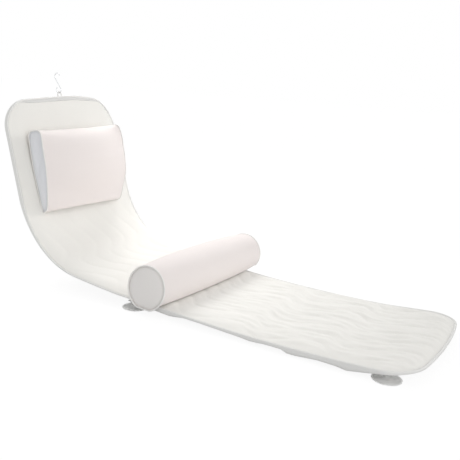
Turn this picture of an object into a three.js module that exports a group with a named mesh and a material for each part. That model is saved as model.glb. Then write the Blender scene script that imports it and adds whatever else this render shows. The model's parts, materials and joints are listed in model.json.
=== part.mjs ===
// Full-body bath pillow: a long quilted mesh mat that lies in the tub and bends up its end wall, with a
// head pillow, a bolster, suction cups and a hanging hook. Millimetres, +Z up, the head end at -X.
import * as THREE from "three";

// The mat's profile from the foot end: a shallow dish, a bend, then the straight back.
const MAT_WIDTH = 380;
const DISH_LENGTH = 769;
const DISH_FOOT_SLOPE = -4.56;
const DISH_HEAD_SLOPE = 6.7;
const BEND_RADIUS = 202;
const BACK_ANGLE = 73.7;
const BACK_LENGTH = 251;
const FOOT_CORNER_RADIUS = 60;
const HEAD_CORNER_RADIUS = 70;

// The mat's layers, from the top of the piping down.
const PAD_DEPTH = 5.6;
const CORE_THICKNESS = 3;
const BASE_THICKNESS = 1.8;
const PIPING_RADIUS = 1.8;
const BAND_THICKNESS = 2.2;

// Quilting: wavy sewn channels that run along the mat and fade on the back.
const PAD_EDGE_DROP = 2.6;
const PAD_CROWN = 1.5;
const CROWN_MARGIN = 34;
const CHANNEL_PITCH = 52;
const CHANNEL_RELIEF = 3;
const BACK_RELIEF = 1;
const WAVE_LENGTH = 165;
const WAVE_SWING = 21;

// The fold between foot and seat.
const FOLD_POSITION = 300;
const FOLD_LENGTH = 40;

// Suction cups and the webbing strips that carry them.
const CUP_RADIUS = 27;
const FOOT_CUP_HEIGHT = 10.5;
const BACK_CUP_HEIGHT = 18;
const CUP_RIM_WIDTH = 4;
const CUP_RIM_THICKNESS = 1.4;
const CUP_HOLLOW = 2.2;
const CUP_HOLLOW_SHARES = { out: 0.6, up: 0.8 };
const CUP_DOME_SHARE = 0.45;
const CUP_NECK_RADIUS = 6;
const CUP_HEAD_RADIUS = 9;
const CUP_HEAD_THICKNESS = 1.6;
const FOOT_CUP_STATION = 59;
const FOOT_CUP_INSET = 27;
const SEAT_CUP_STATION = 608;
const SEAT_CUP_INSET = 18;
const BEND_CUP_STATION = 705;
const BEND_CUP_INSET = 130;
const BACK_CUP_INSET = 76;
const BACK_CUP_MARGIN = 52;
const STRIP_WIDTH = 25;
const STRIP_THICKNESS = 1.5;

// Head pillow, measured along the back.
const PILLOW_WIDTH = 288;
const PILLOW_HEIGHT = 197;
const PILLOW_LAP = 36;
const PILLOW_OFFSET = 1.5;
const PILLOW_CORNER_RADIUS = 20;
const PILLOW_PULL_IN = 2.5;
const PILLOW_DEPTH = 42;
const PILLOW_CROWN = 22;
const PILLOW_CROWN_POWER = 2.5;
const PILLOW_REAR_LIFT = 5;
const PILLOW_LIFT_POWER = 4;
const PILLOW_PIPING_RADIUS = 2.5;

// Bolster across the seat.
const BOLSTER_LENGTH = 416;
const BOLSTER_OFFSET = 15;
const BOLSTER_RADIUS = 54;
const BOLSTER_STATION = 566;
const BOLSTER_AXIS_HEIGHT = 34;
const BOLSTER_DRAW_IN = 7.5;
const BOLSTER_DRAW_POWER = 2.5;
const BOLSTER_PIPING_RADIUS = 2.5;
const BOLSTER_END_CROWN = 3;

// Cover cloth, hook tape and clearances.
const COVER_THICKNESS = 2;
const TAPE_WIDTH = 30;
const TAPE_THICKNESS = 1.5;
const PILLOW_TAPE_LENGTH = 110;
const PILLOW_TAPE_OFFSET = 95;
const BOLSTER_TAPE_LENGTH = 55;
const BOLSTER_TAPE_OFFSET = 120;
const GAP = 0.3;
const JOIN_GAP = 0.4;

// Hanging loop and S-hook.
const LOOP_CORD_RADIUS = 1.5;
const LOOP_WIDTH = 14;
const LOOP_RISE = 9;
const HOOK_WIRE_RADIUS = 1.3;
const HOOK_UPPER_RADIUS = 8.5;
const HOOK_LOWER_RADIUS = 7.8;
const HOOK_SPACING = 33.6;
const HOOK_UPPER_TIP = 15;
const HOOK_LOWER_TIP = 115;
const HOOK_LEAN = 10;

// How finely the round and wavy forms are divided.
const ROWS_PER_WAVE = 8;
const POINTS_PER_CHANNEL = 3;
const CORNER_STEPS = 5;
const BEND_STEPS = 12;
const EDGE_STEP = 60;
const BEAD_STEPS = 6;
const CUP_SIDES = 12;
const PILLOW_CURVE_STEPS = 3;
const PILLOW_RINGS = [0.06, 0.35, 0.6, 0.8, 0.93, 1];
const BOLSTER_SIDES = 22;
const BOLSTER_ROWS = 11;
const BOLSTER_END_RINGS = [1, 0.8, 0.5, 0.1];
const CORD_SIDES = 8;
const LOOP_STEPS = 18;
const HOOK_STEPS = 36;

// Sizes that follow from those above.
const rad = THREE.MathUtils.degToRad;
const DISH_RADIUS = DISH_LENGTH / rad(DISH_HEAD_SLOPE - DISH_FOOT_SLOPE);
const BEND_LENGTH = BEND_RADIUS * rad(BACK_ANGLE - DISH_HEAD_SLOPE);
const BACK_START = DISH_LENGTH + BEND_LENGTH;
const MAT_LENGTH = BACK_START + BACK_LENGTH;
const FOOT_END = FOLD_POSITION - FOLD_LENGTH / 2;
const SEAT_START = FOLD_POSITION + FOLD_LENGTH / 2;
const CORE_TOP = -PAD_DEPTH - GAP;
const BASE_TOP = CORE_TOP - CORE_THICKNESS - GAP;
const BASE_BOTTOM = BASE_TOP - BASE_THICKNESS;
const STRIP_TOP = BASE_BOTTOM - GAP;
const STRIP_BOTTOM = STRIP_TOP - STRIP_THICKNESS;
const PAD_INSET = 2 * PIPING_RADIUS + GAP;
const LAYER_INSET = PIPING_RADIUS + BAND_THICKNESS / 2 + GAP;

const COLOURS = {
  mesh: { color: 0xeeece6, roughness: 0.85, metalness: 0 },
  band: { color: 0xe2e3e0, roughness: 0.85, metalness: 0 },
  foam: { color: 0xf2efe6, roughness: 0.95, metalness: 0 },
  webbing: { color: 0xe6e6e3, roughness: 0.8, metalness: 0 },
  cup: { color: 0xd6d7d4, roughness: 0.35, metalness: 0 },
  pillow: { color: 0xece6e2, roughness: 0.85, metalness: 0 },
  piping: { color: 0xf4f3ef, roughness: 0.8, metalness: 0 },
  tape: { color: 0xe9e9e6, roughness: 0.9, metalness: 0 },
  steel: { color: 0xb9bcbf, roughness: 0.25, metalness: 1 },
};

const assembly = new THREE.Group();

function addMesh(name, geometry, finish) {
  const mesh = new THREE.Mesh(geometry, new THREE.MeshStandardMaterial(COLOURS[finish]));
  mesh.name = name;
  assembly.add(mesh);
  return mesh;
}

// A point of an arc that starts at x, z with one heading and has run along it, headings in radians.
function alongArc(x, z, start, radius, run) {
  const heading = start + run / radius;
  return {
    x: x - radius * (Math.sin(heading) - Math.sin(start)),
    z: z + radius * (Math.cos(start) - Math.cos(heading)),
    heading,
  };
}

const BEND_FOOT = alongArc(0, 0, rad(DISH_FOOT_SLOPE), DISH_RADIUS, DISH_LENGTH);
const BEND_HEAD = alongArc(BEND_FOOT.x, BEND_FOOT.z, BEND_FOOT.heading, BEND_RADIUS, BEND_LENGTH);

// A station on a straight line from a known one.
function alongLine(from, run) {
  return {
    x: from.x - run * Math.cos(from.heading),
    z: from.z + run * Math.sin(from.heading),
    heading: from.heading,
  };
}

// The mat's profile at a distance from the foot end.
function station(s) {
  if (s <= DISH_LENGTH) return alongArc(0, 0, rad(DISH_FOOT_SLOPE), DISH_RADIUS, s);
  if (s <= BACK_START) {
    return alongArc(BEND_FOOT.x, BEND_FOOT.z, BEND_FOOT.heading, BEND_RADIUS, s - DISH_LENGTH);
  }
  return alongLine(BEND_HEAD, s - BACK_START);
}

// A point at height h over a station, and y across the mat.
function over(place, y, h) {
  const x = place.x + h * Math.sin(place.heading);
  return new THREE.Vector3(x, y, place.z + h * Math.cos(place.heading));
}

const matPoint = (s, y, h) => over(station(s), y, h);
const backPoint = (s, y, h) => over(alongLine(BEND_HEAD, s - BACK_START), y, h);

function volumeSign(positions, faces) {
  let volume = 0;
  for (let i = 0; i < faces.length; i += 3) {
    const [a, b, c] = [positions[faces[i]], positions[faces[i + 1]], positions[faces[i + 2]]];
    volume += a.dot(b.clone().cross(c));
  }
  return Math.sign(volume);
}

// A closed body through rings with equally many points: either joined end to end, or capped at both ends
// with the flat outlines that are given.
function loft(rings, firstOutline, lastOutline) {
  const count = rings[0].length;
  const points = rings.flat();
  const faces = [];
  const spans = firstOutline ? rings.length - 1 : rings.length;
  for (let i = 0; i < spans; i++) {
    const a = i * count;
    const b = ((i + 1) % rings.length) * count;
    for (let j = 0; j < count; j++) {
      const k = (j + 1) % count;
      faces.push(a + j, a + k, b + k, a + j, b + k, b + j);
    }
  }
  if (firstOutline) {
    const last = (rings.length - 1) * count;
    THREE.ShapeUtils.triangulateShape(firstOutline, []).forEach(([a, b, c]) => faces.push(c, b, a));
    THREE.ShapeUtils.triangulateShape(lastOutline, []).forEach(([a, b, c]) => {
      faces.push(last + a, last + b, last + c);
    });
  }
  if (volumeSign(points, faces) < 0) faces.reverse();
  return new THREE.BufferGeometry().setFromPoints(points).setIndex(faces);
}

// A body whose outline, drawn across the mat, changes from row to row.
function loftRows(rows, outlineAt, place) {
  const outlines = rows.map(outlineAt);
  const rings = outlines.map((outline, i) => outline.map((p) => place(rows[i], p)));
  return loft(rings, outlines[0], outlines[outlines.length - 1]);
}

function evenly(from, to, steps) {
  return Array.from({ length: steps + 1 }, (_, i) => from + ((to - from) * i) / steps);
}

// The stretches of the mat. The ends at the fold and the bend stop short by half a joint's gap.
const STRETCHES = [
  { name: "foot", from: 0, to: FOOT_END },
  { name: "fold", from: FOOT_END, to: SEAT_START },
  { name: "seat", from: SEAT_START, to: DISH_LENGTH },
  { name: "bend", from: DISH_LENGTH, to: BACK_START },
  { name: "back", from: BACK_START, to: MAT_LENGTH },
];

const isFootEnd = (stretch) => stretch.from === 0;
const isHeadEnd = (stretch) => stretch.to === MAT_LENGTH;

// Distances from the mat's rounded end at which a layer has a row.
function cornerRows(radius, inset) {
  const angles = evenly(0, Math.PI / 2, CORNER_STEPS);
  return angles.map((angle) => radius - (radius - inset) * Math.cos(angle));
}

// Rows along a stretch, close together at the rounded ends of the mat.
function stretchRows(stretch, inset, step) {
  let from = stretch.from + JOIN_GAP / 2;
  let to = stretch.to - JOIN_GAP / 2;
  let head = [];
  let tail = [];
  if (isFootEnd(stretch)) {
    head = cornerRows(FOOT_CORNER_RADIUS, inset);
    from = head.pop();
  }
  if (isHeadEnd(stretch)) {
    tail = cornerRows(HEAD_CORNER_RADIUS, inset).map((d) => MAT_LENGTH - d).reverse();
    to = tail.shift();
  }
  return [...head, ...evenly(from, to, Math.max(1, Math.round((to - from) / step))), ...tail];
}

// Half the width of a layer at a distance from the foot end.
function halfWidth(s, inset) {
  const toFoot = FOOT_CORNER_RADIUS - s;
  const toHead = HEAD_CORNER_RADIUS - (MAT_LENGTH - s);
  const side = MAT_WIDTH / 2;
  const corner = (radius, into) => {
    const reach = radius - inset;
    return side - radius + Math.sqrt(Math.max(0, reach * reach - into * into));
  };
  if (toFoot > 0) return corner(FOOT_CORNER_RADIUS, toFoot);
  if (toHead > 0) return corner(HEAD_CORNER_RADIUS, toHead);
  return side - inset;
}

// 0 at an edge, rising smoothly to 1 at the crown's margin.
const rise = (distance) => Math.sin((Math.PI / 2) * THREE.MathUtils.clamp(distance / CROWN_MARGIN, 0, 1));

// The pad's height over the piping at one place, with full or faded channels.
function padHeight(s, y, inChannel) {
  const side = halfWidth(s, PAD_INSET) - Math.abs(y);
  const end = Math.min(s, MAT_LENGTH - s) - PAD_INSET;
  const crown = rise(Math.min(side, end));
  const fade = THREE.MathUtils.smoothstep(s, DISH_LENGTH, BACK_START);
  const relief = THREE.MathUtils.lerp(CHANNEL_RELIEF, BACK_RELIEF, fade);
  return -PAD_EDGE_DROP + crown * (PAD_EDGE_DROP + PAD_CROWN + relief * inChannel);
}

const CHANNELS = Math.round((MAT_WIDTH - 2 * PAD_INSET) / CHANNEL_PITCH);
const HIGHEST_PAD = PAD_CROWN + CHANNEL_RELIEF;
const HIGHEST_BACK = PAD_CROWN + BACK_RELIEF;

// The pad's outline across the mat: flat below, wavy channels above.
function padOutline(s) {
  const half = halfWidth(s, PAD_INSET);
  const swing = (WAVE_SWING / (MAT_WIDTH / 2)) * Math.sin((2 * Math.PI * s) / WAVE_LENGTH);
  const columns = CHANNELS * POINTS_PER_CHANNEL;
  const top = evenly(1, -1, columns).map((v, i) => {
    const y = half * (v + swing * (1 - v ** 4));
    const inChannel = i % POINTS_PER_CHANNEL ? 1 : 0;
    return new THREE.Vector2(y, padHeight(s, y, inChannel));
  });
  return [new THREE.Vector2(-half, -PAD_DEPTH), new THREE.Vector2(half, -PAD_DEPTH), ...top];
}

function slabOutline(s, bottom, top) {
  const half = halfWidth(s, LAYER_INSET);
  const corners = [[-half, bottom], [half, bottom], [half, top], [-half, top]];
  return corners.map(([y, h]) => new THREE.Vector2(y, h));
}

const onMat = (s, p) => matPoint(s, p.x, p.y);

// How far apart the rows of a stretch lie: as asked, except in the bend, where all layers share theirs.
const rowStep = (stretch, step) => (stretch.name === "bend" ? BEND_LENGTH / BEND_STEPS : step);

function addLayers(stretch) {
  const padRows = stretchRows(stretch, PAD_INSET, rowStep(stretch, WAVE_LENGTH / ROWS_PER_WAVE));
  addMesh(`${stretch.name}_quilted_top`, loftRows(padRows, padOutline, onMat), "mesh");
  const rows = stretchRows(stretch, LAYER_INSET, rowStep(stretch, EDGE_STEP));
  const core = (s) => slabOutline(s, CORE_TOP - CORE_THICKNESS, CORE_TOP);
  addMesh(`${stretch.name}_foam_core`, loftRows(rows, core, onMat), "foam");
  const base = (s) => slabOutline(s, BASE_BOTTOM, BASE_TOP);
  addMesh(`${stretch.name}_base_panel`, loftRows(rows, base, onMat), "mesh");
}

// The binding's outline: a side band with a piping bead along its top, x pointing out of the mat.
function bindingOutline() {
  const half = BAND_THICKNESS / 2;
  const open = Math.asin(half / PIPING_RADIUS);
  const bead = evenly(-Math.PI / 2 + open, (3 * Math.PI) / 2 - open, BEAD_STEPS);
  const points = bead.map((angle) => {
    const rim = new THREE.Vector2(Math.cos(angle), Math.sin(angle));
    return rim.multiplyScalar(PIPING_RADIUS).add(new THREE.Vector2(0, -PIPING_RADIUS));
  });
  return [new THREE.Vector2(-half, BASE_BOTTOM), new THREE.Vector2(half, BASE_BOTTOM), ...points];
}

// Where the binding runs round one end of the mat: d from the end, y across, and the way it faces.
function endEdge(radius, reach) {
  const side = MAT_WIDTH / 2;
  const turn = radius - PIPING_RADIUS;
  const angles = evenly(0, Math.PI / 2, CORNER_STEPS);
  const corner = angles.map((angle) => ({
    d: radius - turn * Math.sin(angle),
    y: -(side - radius) - turn * Math.cos(angle),
    outD: -Math.sin(angle),
    outY: -Math.cos(angle),
  }));
  const straight = evenly(reach, radius, Math.ceil((reach - radius) / EDGE_STEP)).slice(0, -1);
  const run = straight.map((d) => ({ d, y: -(side - PIPING_RADIUS), outD: 0, outY: -1 }));
  const near = [...run, ...corner];
  const far = near.map((p) => ({ ...p, y: -p.y, outY: -p.outY })).reverse();
  return [...near, ...far];
}

function addEndBinding(stretch) {
  const outline = bindingOutline();
  const radius = isFootEnd(stretch) ? FOOT_CORNER_RADIUS : HEAD_CORNER_RADIUS;
  const fromEnd = (d) => (isFootEnd(stretch) ? d : MAT_LENGTH - d);
  const edge = endEdge(radius, stretch.to - stretch.from - JOIN_GAP / 2);
  const rings = edge.map((e) =>
    outline.map((p) => matPoint(fromEnd(e.d + p.x * e.outD), e.y + p.x * e.outY, p.y)),
  );
  addMesh(`${stretch.name}_edge_binding`, loft(rings, outline, outline), "band");
}

function addSideBinding(stretch, side, sign) {
  const rows = stretchRows(stretch, 0, rowStep(stretch, EDGE_STEP));
  const y = MAT_WIDTH / 2 - PIPING_RADIUS;
  const place = (s, p) => matPoint(s, sign * (y + p.x), p.y);
  addMesh(`${stretch.name}_edge_binding_${side}`, loftRows(rows, bindingOutline, place), "band");
}

const SIDES = [
  { side: "near", sign: -1 },
  { side: "far", sign: 1 },
];

function addMat() {
  for (const stretch of STRETCHES) {
    addLayers(stretch);
    if (isFootEnd(stretch) || isHeadEnd(stretch)) addEndBinding(stretch);
    else SIDES.forEach(({ side, sign }) => addSideBinding(stretch, side, sign));
  }
}

// A suction cup's turned outline: flat rim, shallow hollow, dome, neck and button head.
function cupGeometry(height) {
  const dome = CUP_RIM_THICKNESS + (height - CUP_RIM_THICKNESS - CUP_HEAD_THICKNESS) * CUP_DOME_SHARE;
  const headBottom = height - CUP_HEAD_THICKNESS;
  const outline = [
    [0, CUP_HOLLOW],
    [(CUP_RADIUS - CUP_RIM_WIDTH) * CUP_HOLLOW_SHARES.out, CUP_HOLLOW * CUP_HOLLOW_SHARES.up],
    [CUP_RADIUS - CUP_RIM_WIDTH, 0],
    [CUP_RADIUS, 0],
    [CUP_RADIUS, CUP_RIM_THICKNESS],
    [(CUP_RADIUS + CUP_NECK_RADIUS) / 2, dome],
    [CUP_NECK_RADIUS, headBottom],
    [CUP_HEAD_RADIUS, headBottom],
    [CUP_HEAD_RADIUS, height],
    [0, height],
  ];
  return new THREE.LatheGeometry(outline.map(([r, z]) => new THREE.Vector2(r, z)), CUP_SIDES);
}

const LATHE_AXIS = new THREE.Vector3(0, 1, 0);

// How low the webbing reaches over a cup's head at a station of the dish.
function stripLow(s) {
  const place = station(s);
  return over(place, 0, STRIP_BOTTOM).z - CUP_HEAD_RADIUS * Math.abs(Math.tan(place.heading));
}

const FLOOR = stripLow(FOOT_CUP_STATION) - GAP - FOOT_CUP_HEIGHT;

function addStrip(name, s, cupOffset) {
  const half = cupOffset + CUP_HEAD_RADIUS;
  const rows = [s - STRIP_WIDTH / 2, s + STRIP_WIDTH / 2];
  const corners = [[-half, STRIP_BOTTOM], [half, STRIP_BOTTOM], [half, STRIP_TOP], [-half, STRIP_TOP]];
  const outline = () => corners.map(([y, h]) => new THREE.Vector2(y, h));
  addMesh(`${name}_cup_strip`, loftRows(rows, outline, onMat), "webbing");
}

// A pair of cups on one strip of webbing, standing on the floor.
function addFloorCups(name, s, inset) {
  const offset = MAT_WIDTH / 2 - inset;
  addStrip(name, s, offset);
  for (const { side, sign } of SIDES) {
    const cup = addMesh(`${name}_cup_${side}`, cupGeometry(stripLow(s) - GAP - FLOOR), "cup");
    cup.quaternion.setFromUnitVectors(LATHE_AXIS, new THREE.Vector3(0, 0, 1));
    cup.position.set(over(station(s), 0, STRIP_BOTTOM).x, sign * offset, FLOOR);
  }
}

// A pair of cups behind the back, for the tub's end wall.
function addBackCups(name, s) {
  const offset = MAT_WIDTH / 2 - BACK_CUP_INSET;
  addStrip(name, s, offset);
  const out = matPoint(s, 0, 1).sub(matPoint(s, 0, 0));
  for (const { side, sign } of SIDES) {
    const cup = addMesh(`${name}_cup_${side}`, cupGeometry(BACK_CUP_HEIGHT), "cup");
    cup.quaternion.setFromUnitVectors(LATHE_AXIS, out);
    cup.position.copy(matPoint(s, sign * offset, STRIP_BOTTOM - GAP - BACK_CUP_HEIGHT));
  }
}

function addCups() {
  addFloorCups("foot", FOOT_CUP_STATION, FOOT_CUP_INSET);
  addFloorCups("seat", SEAT_CUP_STATION, SEAT_CUP_INSET);
  addFloorCups("bend", BEND_CUP_STATION, BEND_CUP_INSET);
  addBackCups("back_lower", BACK_START + BACK_CUP_MARGIN);
  addBackCups("back_upper", MAT_LENGTH - BACK_CUP_MARGIN);
}

// The pillow's outline in its own plane: round corners, sides that pull in between them.
function pillowOutline(inset) {
  const x = PILLOW_WIDTH / 2 - inset;
  const y = PILLOW_HEIGHT / 2 - inset;
  const r = PILLOW_CORNER_RADIUS - inset;
  const pull = 2 * PILLOW_PULL_IN;
  const shape = new THREE.Shape();
  shape.moveTo(x - r, -y);
  shape.absarc(x - r, -y + r, r, -Math.PI / 2, 0);
  shape.quadraticCurveTo(x - pull, 0, x, y - r);
  shape.absarc(x - r, y - r, r, 0, Math.PI / 2);
  shape.quadraticCurveTo(0, y - pull, -x + r, y);
  shape.absarc(-x + r, y - r, r, Math.PI / 2, Math.PI);
  shape.quadraticCurveTo(-x + pull, 0, -x, -y + r);
  shape.absarc(-x + r, -y + r, r, Math.PI, 1.5 * Math.PI);
  shape.quadraticCurveTo(0, -y + pull, x - r, -y);
  return shape.getPoints(PILLOW_CURVE_STEPS).slice(0, -1);
}

// The pillow's lower edge laps over the head end of the bend.
const PILLOW_CENTRE = BACK_START - PILLOW_LAP + PILLOW_HEIGHT / 2;
const PILLOW_TAPE_BOTTOM = HIGHEST_BACK + GAP;
const PILLOW_REAR = PILLOW_TAPE_BOTTOM + TAPE_THICKNESS + GAP;

const onPillow = (p, h) => backPoint(PILLOW_CENTRE + p.y, PILLOW_OFFSET + p.x, h);

// Rings from the middle of the pillow out to its rim, at a height that depends on how far out they are.
function pillowRings(inset, shares, heightAt) {
  const outline = pillowOutline(inset);
  return shares.map((share) => {
    return outline.map((p) => onPillow(p.clone().multiplyScalar(share), heightAt(share)));
  });
}

const pillowFront = (share) => PILLOW_REAR + PILLOW_DEPTH + PILLOW_CROWN * (1 - share ** PILLOW_CROWN_POWER);
const pillowRear = (share) => PILLOW_REAR + PILLOW_REAR_LIFT * share ** PILLOW_LIFT_POWER;

// A body between two lids that share an outline.
function addLidded(name, inset, shares, upper, lower, finish) {
  const up = pillowRings(inset, shares, upper);
  const down = pillowRings(inset, shares, lower).reverse();
  const cap = pillowOutline(inset);
  addMesh(name, loft([...up, ...down], cap, cap), finish);
}

function addPillowCover() {
  const seam = 2 * PILLOW_PIPING_RADIUS + GAP;
  const inner = (share) => pillowFront(share) - COVER_THICKNESS;
  addLidded("pillow_front_panel", seam, PILLOW_RINGS, pillowFront, inner, "pillow");
  const rearInner = (share) => pillowRear(share) + COVER_THICKNESS;
  addLidded("pillow_back_panel", COVER_THICKNESS + GAP, PILLOW_RINGS, rearInner, pillowRear, "pillow");
}

function addPillowFill() {
  const upper = (share) => pillowFront(share) - COVER_THICKNESS - GAP;
  const lower = (share) => pillowRear(share) + COVER_THICKNESS + GAP;
  const inset = 2 * PILLOW_PIPING_RADIUS + GAP;
  addLidded("pillow_fill", inset, PILLOW_RINGS, upper, lower, "foam");
}

function addPillowSides() {
  const top = PILLOW_REAR + PILLOW_DEPTH - PILLOW_PIPING_RADIUS;
  const gussetTop = top - PILLOW_PIPING_RADIUS - GAP;
  const bottom = pillowRear(1);
  const outer = pillowOutline(0);
  const inner = pillowOutline(COVER_THICKNESS);
  const gusset = outer.map((p, i) => [
    onPillow(p, bottom),
    onPillow(p, gussetTop),
    onPillow(inner[i], gussetTop),
    onPillow(inner[i], bottom),
  ]);
  addMesh("pillow_gusset", loft(gusset), "pillow");
  const seam = pillowOutline(PILLOW_PIPING_RADIUS);
  const bead = evenly(0, 2 * Math.PI, BEAD_STEPS).slice(0, -1);
  const piping = seam.map((p, i) => {
    const out = outer[i].clone().sub(p).normalize();
    return bead.map((angle) => {
      const at = p.clone().addScaledVector(out, PILLOW_PIPING_RADIUS * Math.cos(angle));
      return onPillow(at, top + PILLOW_PIPING_RADIUS * Math.sin(angle));
    });
  });
  addMesh("pillow_piping", loft(piping), "piping");
}

// A flat rectangle of hook tape, drawn where place puts it.
function tapeGeometry(width, length, place) {
  const corners = [[-width, -length], [width, -length], [width, length], [-width, length]];
  const outline = corners.map(([x, y]) => new THREE.Vector2(x / 2, y / 2));
  const ring = (h) => outline.map((p) => place(p, h));
  return loft([ring(0), ring(TAPE_THICKNESS)], outline, outline);
}

function addPillow() {
  addPillowCover();
  addPillowFill();
  addPillowSides();
  for (const { side, sign } of SIDES) {
    const place = (p, h) => {
      const at = new THREE.Vector2(p.x + sign * PILLOW_TAPE_OFFSET, p.y);
      return onPillow(at, PILLOW_TAPE_BOTTOM + h);
    };
    const tape = tapeGeometry(TAPE_WIDTH, PILLOW_TAPE_LENGTH, place);
    addMesh(`pillow_hook_tape_${side}`, tape, "tape");
  }
}

const BOLSTER_SEAT = station(BOLSTER_STATION);
const BOLSTER_TAPE_BOTTOM = HIGHEST_PAD + GAP;
const BOLSTER_BOTTOM = BOLSTER_TAPE_BOTTOM + TAPE_THICKNESS + GAP;

// A point of the bolster: a along the mat towards the head, y across it, h over it.
const onBolster = (a, y, h) => over(alongLine(BOLSTER_SEAT, a), BOLSTER_OFFSET + y, h);

// A round outline cut flat where it lies on the mat.
function bolsterOutline(radius, bottom) {
  const drop = BOLSTER_AXIS_HEIGHT - bottom;
  const start = Math.asin(-drop / radius);
  const angles = evenly(start, Math.PI - start, BOLSTER_SIDES);
  return angles.map((angle) => {
    return new THREE.Vector2(radius * Math.cos(angle), BOLSTER_AXIS_HEIGHT + radius * Math.sin(angle));
  });
}

const bolsterRing = (outline, y) => outline.map((p) => onBolster(p.x, y, p.y));
const BOLSTER_SEAM = BOLSTER_LENGTH / 2 - 2 * BOLSTER_PIPING_RADIUS;

// The sleeve's radius, drawn in towards the seams at its ends.
function bolsterRadius(y) {
  return BOLSTER_RADIUS - BOLSTER_DRAW_IN * Math.abs(y / BOLSTER_SEAM) ** BOLSTER_DRAW_POWER;
}

function addBolsterBody() {
  const rows = evenly(-BOLSTER_SEAM + GAP, BOLSTER_SEAM - GAP, BOLSTER_ROWS);
  const rings = (inset) => {
    return rows.map((y) => bolsterRing(bolsterOutline(bolsterRadius(y) - inset, BOLSTER_BOTTOM + inset), y));
  };
  const sleeve = [...rings(0), ...rings(COVER_THICKNESS).reverse()];
  addMesh("bolster_sleeve", loft(sleeve), "pillow");
  const inset = COVER_THICKNESS + GAP;
  const cap = bolsterOutline(bolsterRadius(BOLSTER_SEAM) - inset, BOLSTER_BOTTOM + inset);
  addMesh("bolster_fill", loft(rings(inset), cap, cap), "foam");
}

// One end of the bolster: a crowned disc inside a ring of piping.
function addBolsterEnd(side, sign) {
  const edge = bolsterRadius(BOLSTER_SEAM);
  const bead = BOLSTER_PIPING_RADIUS;
  const middle = sign * (BOLSTER_SEAM + bead);
  const seam = bolsterOutline(edge - bead, BOLSTER_BOTTOM + bead);
  const centre = new THREE.Vector2(0, BOLSTER_AXIS_HEIGHT);
  const ring = seam.map((p) => {
    const out = p.clone().sub(centre).normalize();
    return evenly(0, 2 * Math.PI, BEAD_STEPS).slice(0, -1).map((angle) => {
      const at = p.clone().addScaledVector(out, bead * Math.cos(angle));
      return onBolster(at.x, middle + bead * Math.sin(angle), at.y);
    });
  });
  addMesh(`bolster_piping_${side}`, loft(ring), "piping");
  const inset = 2 * bead + GAP;
  const disc = bolsterOutline(edge - inset, BOLSTER_BOTTOM + inset);
  const shrink = (share) => disc.map((p) => p.clone().sub(centre).multiplyScalar(share).add(centre));
  const inner = sign * (BOLSTER_SEAM + GAP);
  const crown = (share) => sign * (BOLSTER_SEAM + 2 * bead - BOLSTER_END_CROWN * share ** 2);
  const rings = [
    bolsterRing(disc, inner),
    ...BOLSTER_END_RINGS.map((share) => bolsterRing(shrink(share), crown(share))),
  ];
  addMesh(`bolster_end_${side}`, loft(rings, disc, disc), "pillow");
}

function addBolster() {
  addBolsterBody();
  for (const { side, sign } of SIDES) {
    addBolsterEnd(side, sign);
    const place = (p, h) => onBolster(p.y, p.x + sign * BOLSTER_TAPE_OFFSET, BOLSTER_TAPE_BOTTOM + h);
    const tape = tapeGeometry(TAPE_WIDTH, BOLSTER_TAPE_LENGTH, place);
    addMesh(`bolster_hook_tape_${side}`, tape, "tape");
  }
}

// A round cord or wire along a curve.
function cordGeometry(curve, radius, steps) {
  const corners = evenly(0, 2 * Math.PI, CORD_SIDES).slice(0, -1);
  const section = new THREE.Shape(
    corners.map((angle) => new THREE.Vector2(radius * Math.cos(angle), radius * Math.sin(angle))),
  );
  return new THREE.ExtrudeGeometry(section, { steps, extrudePath: curve, curveSegments: CORD_SIDES });
}

const LOOP_DEPTH = -PAD_DEPTH;

// A bight of cord that comes out of the middle of the head edge.
function addHangingLoop() {
  const foot = MAT_LENGTH - PIPING_RADIUS + BAND_THICKNESS / 2 + GAP;
  const half = LOOP_WIDTH / 2;
  const climb = MAT_LENGTH + LOOP_RISE - foot;
  const route = [[-half, 0], [-half, 0.5], [-0.55 * half, 0.88], [0, 1]];
  const back = route.slice(0, -1).map(([y, share]) => [-y, share]).reverse();
  const points = [...route, ...back].map(([y, share]) => backPoint(foot + share * climb, y, LOOP_DEPTH));
  const bight = new THREE.CatmullRomCurve3(points);
  addMesh("hanging_loop", cordGeometry(bight, LOOP_CORD_RADIUS, LOOP_STEPS), "piping");
}

// The hook's stem leaves the vertical by this angle, where it touches both arcs.
const HOOK_STEM_ANGLE = Math.asin((HOOK_UPPER_RADIUS + HOOK_LOWER_RADIUS) / HOOK_SPACING);

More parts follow.
